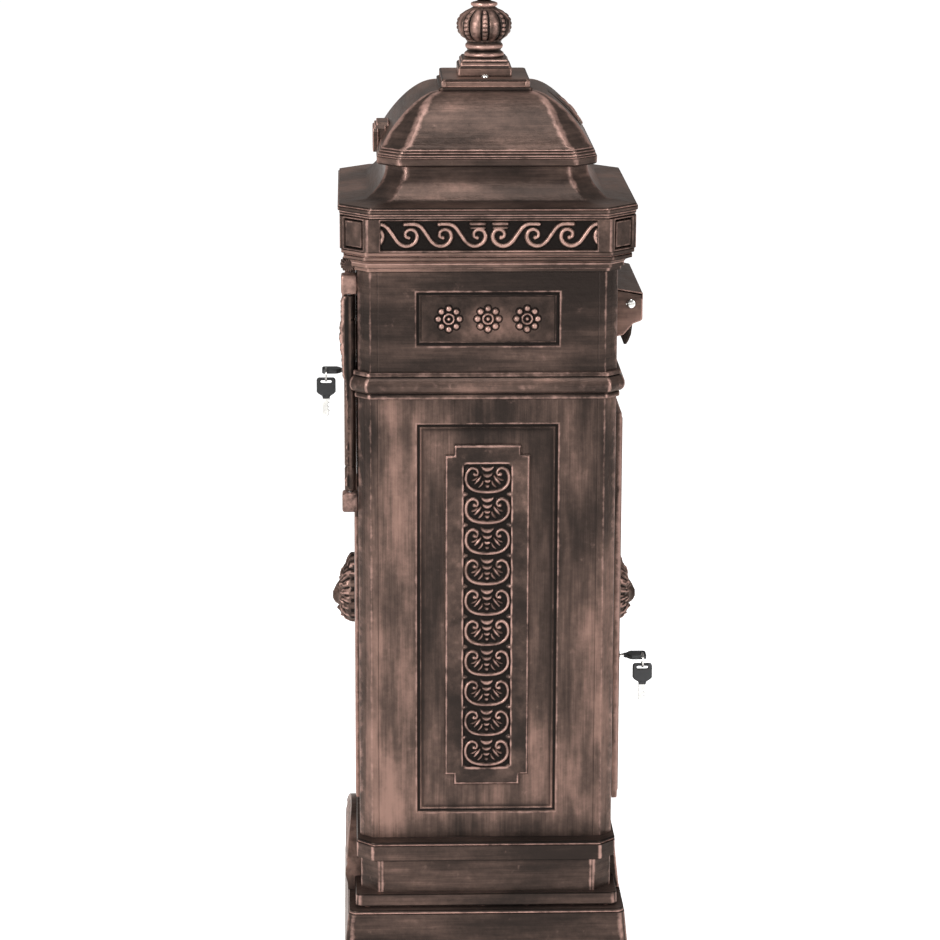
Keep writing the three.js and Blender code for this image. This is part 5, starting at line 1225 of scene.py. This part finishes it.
# hinges, locks and keys
def makeHinges():
    for place_ in ("rear", "front"):
        for end in ("top", "bottom"):
            node = f"{place_}_hinge_block_{end}"
            low, high = (np.array(v) * 1000 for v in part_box(node))
            makePiece(f"{node}_casting", [ovalBlock((low + high) / 2, (high - low) / 2, 9.0, 16)], copperOrnament, "pillar", [node])


lockSizes = {"radius": 9, "rim": 11, "face": 145.0, "plug": 6, "bowStart": 153.0, "bowLength": 21, "bowWidth": 20, "bowThick": 4.6, "slot": (3.6, 12.4), "bar": 2.6, "blade": (8, 2), "ring": 7.6, "wire": 0.6, "hang": 3.1}


def bowOutline(width, length, corner=3.2):
    # rounded head of a key with a narrower neck, drawn from the neck at 0 to the end at its length
    h = width / 2
    turn = np.linspace(-halfPi, 0, 6)
    far = [(length - corner + corner * math.cos(t), -h + corner + corner * math.sin(t)) for t in turn]
    near = [(0.6, 5.2), (0.0, 4.4)]
    side = [(x, y) for x, y in far]
    up = [(x, -y) for x, y in far[::-1]]
    return [(0.0, -4.4), (0.6, -5.2), (3.0, -h + 1.6), (5.0, -h)] + side + up + [(5.0, h), (3.0, h - 1.6), (0.6, 5.2), (0.0, 4.4)]


def bladeOutline(length, width):
    # a key's blade with its row of cuts on one edge, from the bow at 0 outwards
    h = width / 2
    cuts = [(0, h), (4, h), (5.2, h - 1.7), (6.6, h - 1.7), (7.8, h - 0.3), (9.2, h - 2.6), (10.6, h - 2.6), (12.2, h - 0.6), (13.6, h - 2.0), (15.0, h - 2.0), (16.6, h - 0.2), (18.0, h - 1.5), (length - 2, h - 1.2), (length, 0.6)]
    return [(0, -h), (length - 2.4, -h), (length, -h + 2.2)] + cuts[::-1]


def slotLoop(x0, x1, half, round_=1.2):
    return [(x0, -half + round_), (x0 + round_ * 0.4, -half + round_ * 0.4), (x0 + round_, -half), (x1 - round_, -half), (x1 - round_ * 0.4, -half + round_ * 0.4), (x1, -half + round_),
            (x1, half - round_), (x1 - round_ * 0.4, half - round_ * 0.4), (x1 - round_, half), (x0 + round_, half), (x0 + round_ * 0.4, half - round_ * 0.4), (x0, half - round_)]


def makeLocks():
    s = lockSizes
    for name, side, y, z in (("rear", -1, 80.0, 585.6), ("front", 1, -80.0, 304.0)):
        body, turning, hanging = f"{name}_door", f"{name}_lock", f"{name}_spare"
        rim = [(6.4, -12.5, 0), (9, -12.5, 0), (9, -2.5, 0), (11, -2.2, 0), (11, -0.8, 0), (10.2, -0.1, 0), (8.6, 0.0, 0), (8.0, -0.5, 0), (6.4, -0.5, 0), (6.4, -12.5, 0)]
        profile = np.array(rim)
        angle = np.linspace(0, 2 * math.pi, 48, endpoint=False)[:, None]
        x = np.broadcast_to(side * (s["face"] + profile[:, 1]), (48, len(profile)))
        points = np.stack([x, y + profile[:, 0] * np.cos(angle), z + profile[:, 0] * np.sin(angle)], -1)
        makePiece(f"{name}_lock_rim", [gridSurface(points[:, :-1], 0.0, closeRows=True, closeColumns=True)], brightNickel, body, [f"{name}_lock_body"])
        # plug behind the key
        ring = [(0.2, -19.0), (4.0, -19.0), (4.0, -13.0), (5.9, -13.0), (5.9, -0.1), (5.4, 0.5), (4.2, 0.3), (0.2, 0.2)]
        plug = turned([(r, side * h, 0) for r, h in ring], (side * s["face"], y, z), "X", 40)
        makePiece(f"{name}_lock_barrel", [plug], brightNickel, turning, [f"{name}_lock_plug"])
        # key: moulded bow across the turning axis, blade into the plug
        t = s["bowThick"] / 2
        start = s["bowStart"]
        slotEnd = s["bowLength"] - s["bar"]
        hole = slotLoop(slotEnd - s["slot"][0], slotEnd, s["slot"][1] / 2)
        face = ((side, 0, 0), (0, 1, 0), (0, 0, 1))
        bow = place(plate(bowOutline(s["bowWidth"], s["bowLength"]), -t, t, 0.7, [hole], 0.9), (side * start, y, z), *face)
        collar = place(plate([(-3.2, -3.6), (0.6, -4.6), (0.6, 4.6), (-3.2, 3.6)], -t * 0.8, t * 0.8, 0.5, fade=0.6), (side * start, y, z), *face)
        makePiece(f"{name}_key_bow", [bow, collar], blackPlastic, turning, [f"{name}_key"])
        blade = place(plate(bladeOutline(22, s["blade"][0] - 1), -s["blade"][1] / 2, s["blade"][1] / 2, 0.25, fade=0.4), (side * (start - 1), y, z), (-side, 0, 0), (0, 1, 0), (0, 0, 1))
        makePiece(f"{name}_key_blade", [blade], brightNickel, turning)
        # split ring: two turns of wire side by side
        ringX = side * (start + slotEnd - s["slot"][0] / 2)
        barY = y - (s["slot"][1] / 2 + s["bowWidth"] / 2) / 2
        ringZ = z - s["hang"]
        t2 = np.linspace(0, 4 * math.pi - 0.35, 96)
        shift = 0.55 * np.tanh((t2 - 2 * math.pi) / 0.7)
        wire = np.column_stack([ringX + shift, barY + s["ring"] * np.cos(t2), ringZ + s["ring"] * np.sin(t2)])
        makePiece(f"{name}_split_ring", [tube(wire, 0.5, 8)], brightNickel, hanging, [f"{name}_key_ring"])
        barTop = ringZ - math.sqrt((s["ring"] - s["wire"]) ** 2 - t * t) + 0.3 + s["bar"]
        faceDown = ((0, 0, -1), (1, 0, 0), (0, 1, 0))
        length = 20.5
        loop = np.array(bowOutline(21, length))
        hole2 = slotLoop(length - s["bar"] - s["slot"][0], length - s["bar"], s["slot"][1] / 2)
        hang = barTop - length
        bow2 = place(plate(loop, -t, t, 0.7, [hole2], 0.9), (ringX, barY, hang), (0, 0, 1), (1, 0, 0), (0, 1, 0))
        collar2 = place(plate([(-3.0, -3.6), (0.6, -4.6), (0.6, 4.6), (-3.0, 3.6)], -t * 0.8, t * 0.8, 0.5, fade=0.6), (ringX, barY, hang), (0, 0, 1), (1, 0, 0), (0, 1, 0))
        makePiece(f"{name}_spare_bow", [bow2, collar2], blackPlastic, hanging, [f"{name}_spare_key"])
        blade2 = place(plate(bladeOutline(22.8, s["blade"][0]), -s["blade"][1] / 2, s["blade"][1] / 2, 0.25, fade=0.4), (ringX, barY, hang), *faceDown)
        makePiece(f"{name}_spare_blade", [blade2], brightNickel, hanging)


footSizes = {"half": 99.5, "low": 46.6, "high": 113.0, "fall": 30.0, "flutes": 30}


def makeFoot():
    # bracket at the foot of the rear face: flutes fan out over a bowed face under a low arch; the rows
    # are squeezed so that the last one follows the arch
    s = footSizes
    w, low, high = s["half"], s["low"], s["high"]
    a, b = np.linspace(-w, w, 200), np.linspace(low, high, 76)
    A, B = np.meshgrid(a, b, indexing="ij")
    arch = high - s["fall"] * (A / w) ** 2
    B = low + (B - low) * (arch - low) / (high - low)
    bow = np.interp(B, [46, 54, 60, 64, 70, 78, 88, 97, 106, 113], [148.2, 148.6, 150.0, 151.0, 150.2, 149.0, 148.0, 146.8, 145.2, 144.0])
    rim = arch - B
    flute = 0.8 * np.cos(np.arctan2(A, B - 10) * s["flutes"]) * smooth(B, 64, 74) * smooth(rim, 4, 9)
    border = 0.9 * np.exp(-((rim - 2.6) / 1.6) ** 2) * (B > 60)
    wearAndShade = np.clip(0.6 * flute + 0.5 * border, -0.8, 0.6)
    back = np.where(B < 62.6, 140.4, np.where(B < 97.8, 134.3, 138.9))
    foot = slab(a, b, bow + flute + border, back, None, wearAndShade)
    p = foot["points"]
    p[:, 1] = low + (p[:, 1] - low) * (high - s["fall"] * (p[:, 0] / w) ** 2 - low) / (high - low)
    makePiece("rear_foot_leaf", [place(foot, (0, 0, 0), (0, 1, 0), (0, 0, 1), (-1, 0, 0))], copperOrnament, "pillar", ["rear_foot_ornament"])


makeBase()
makePlinth()
makeCollar()
makeSideWalls()
makeEndWalls()
makePlaques()
makeRosettes()
makeWaist()
print("base and shaft done")
makeCrown()
makeCornice()
makeDome()
makeDomeReliefs()
makeCap()
makeFinial()
makeScrews()
print("crown and dome done")
makeHood()
makeRearDoor()
makeRearEdge()
makeFrontDoor()
makeRearPlate()
makeMasks()
makeHinges()
makeLocks()
makeFoot()
print("doors, masks and keys done")

# the pieces inside keep their own shapes and get a zinc-plated finish
for nodeName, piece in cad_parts.items():
    if not piece.hide_render:
        piece.data.materials.clear()
        piece.data.materials.append(zincSteel)


# stage, light and camera
stageSizes = {"floorHalf": 30.0, "wallRadius": 29.0, "wallHeight": 14.0, "floorColour": (0.93, 0.93, 0.93), "glow": 0.76, "world": 0.3}  # metres


def makeStage():
    s = stageSizes
    paint = bpy.data.materials.new("floor_paint")
    paint.use_nodes = True
    shader = paint.node_tree.nodes["Principled BSDF"]
    shader.inputs["Base Color"].default_value = (*s["floorColour"], 1)
    shader.inputs["Roughness"].default_value = 0.9
    shader.inputs["Emission Color"].default_value = (1, 1, 1, 1)
    shader.inputs["Emission Strength"].default_value = s["glow"]
    # a flat floor, and a low round wall far behind it that hides the horizon
    turn = np.linspace(0, 2 * math.pi, 64, endpoint=False)
    ring = np.column_stack([np.cos(turn), np.sin(turn)]) * s["wallRadius"]
    h, n = s["floorHalf"], len(turn)
    meshes = {
        "floor": ([(-h, -h, 0), (h, -h, 0), (h, h, 0), (-h, h, 0)], [(0, 1, 2, 3)]),
        "horizon_wall": ([(x, y, z) for z in (-0.5, s["wallHeight"]) for x, y in ring.tolist()], [((i + 1) % n, i, i + n, (i + 1) % n + n) for i in range(n)]),
    }
    for name, (points, faces) in meshes.items():
        mesh = bpy.data.meshes.new(name)
        mesh.from_pydata(points, [], faces)
        mesh.materials.append(paint)
        backdrop = bpy.data.objects.new(name, mesh)
        bpy.context.scene.collection.objects.link(backdrop)
        backdrop.visible_diffuse = False
        backdrop.visible_glossy = name == "floor"
        backdrop.visible_shadow = name == "floor"
    world = bpy.data.worlds.new("studio")
    world.use_nodes = True
    world.node_tree.nodes["Background"].inputs["Color"].default_value = (1, 1, 1, 1)
    world.node_tree.nodes["Background"].inputs["Strength"].default_value = s["world"]
    bpy.context.scene.world = world


# where each softbox stands, what it points at, its size (m) and power (W)
lightPlaces = {
    "key_left": ((-2.1, -2.7, 1.7), (0, 0, 0.5), 1.2, 130),
    "fill_right": ((2.5, -2.2, 1.4), (0, 0, 0.5), 1.2, 50),
    "top": ((0, -0.8, 3.2), (0, 0, 0.5), 1.6, 45),
}


def makeLights():
    for name, (at, to, size, power) in lightPlaces.items():
        lamp = bpy.data.lights.new(name, "AREA")
        lamp.shape = "SQUARE"
        lamp.size = size
        lamp.energy = power
        holder = bpy.data.objects.new(name, lamp)
        holder.location = at
        holder.rotation_euler = (Vector(to) - Vector(at)).to_track_quat("-Z", "Y").to_euler()
        bpy.context.scene.collection.objects.link(holder)


cameraSizes = {"place": (-0.1395, -3.6182, 1.3618), "turn": 0.0348, "tilt": 0.2361, "roll": 0.0028, "lens": 131.3}


def makeCamera():
    s = cameraSizes
    turn, tilt, roll = s["turn"], s["tilt"], s["roll"]
    forward = np.array([math.sin(turn) * math.cos(tilt), math.cos(turn) * math.cos(tilt), -math.sin(tilt)])
    right = np.array([math.cos(turn), -math.sin(turn), 0])
    up = np.cross(right, forward)
    across = math.cos(roll) * right + math.sin(roll) * up
    above = -math.sin(roll) * right + math.cos(roll) * up
    data = bpy.data.cameras.new("view")
    data.lens = s["lens"]
    data.sensor_width = 36
    data.clip_end = 200
    camera = bpy.data.objects.new("view", data)
    camera.matrix_world = Matrix.Translation(s["place"]) @ Matrix(np.column_stack([across, above, -forward]).tolist()).to_4x4()
    bpy.context.scene.collection.objects.link(camera)
    bpy.context.scene.camera = camera


makeStage()
makeLights()
makeCamera()
bpy.context.scene.view_settings.view_transform = "Standard"
print("stage, light and camera done")
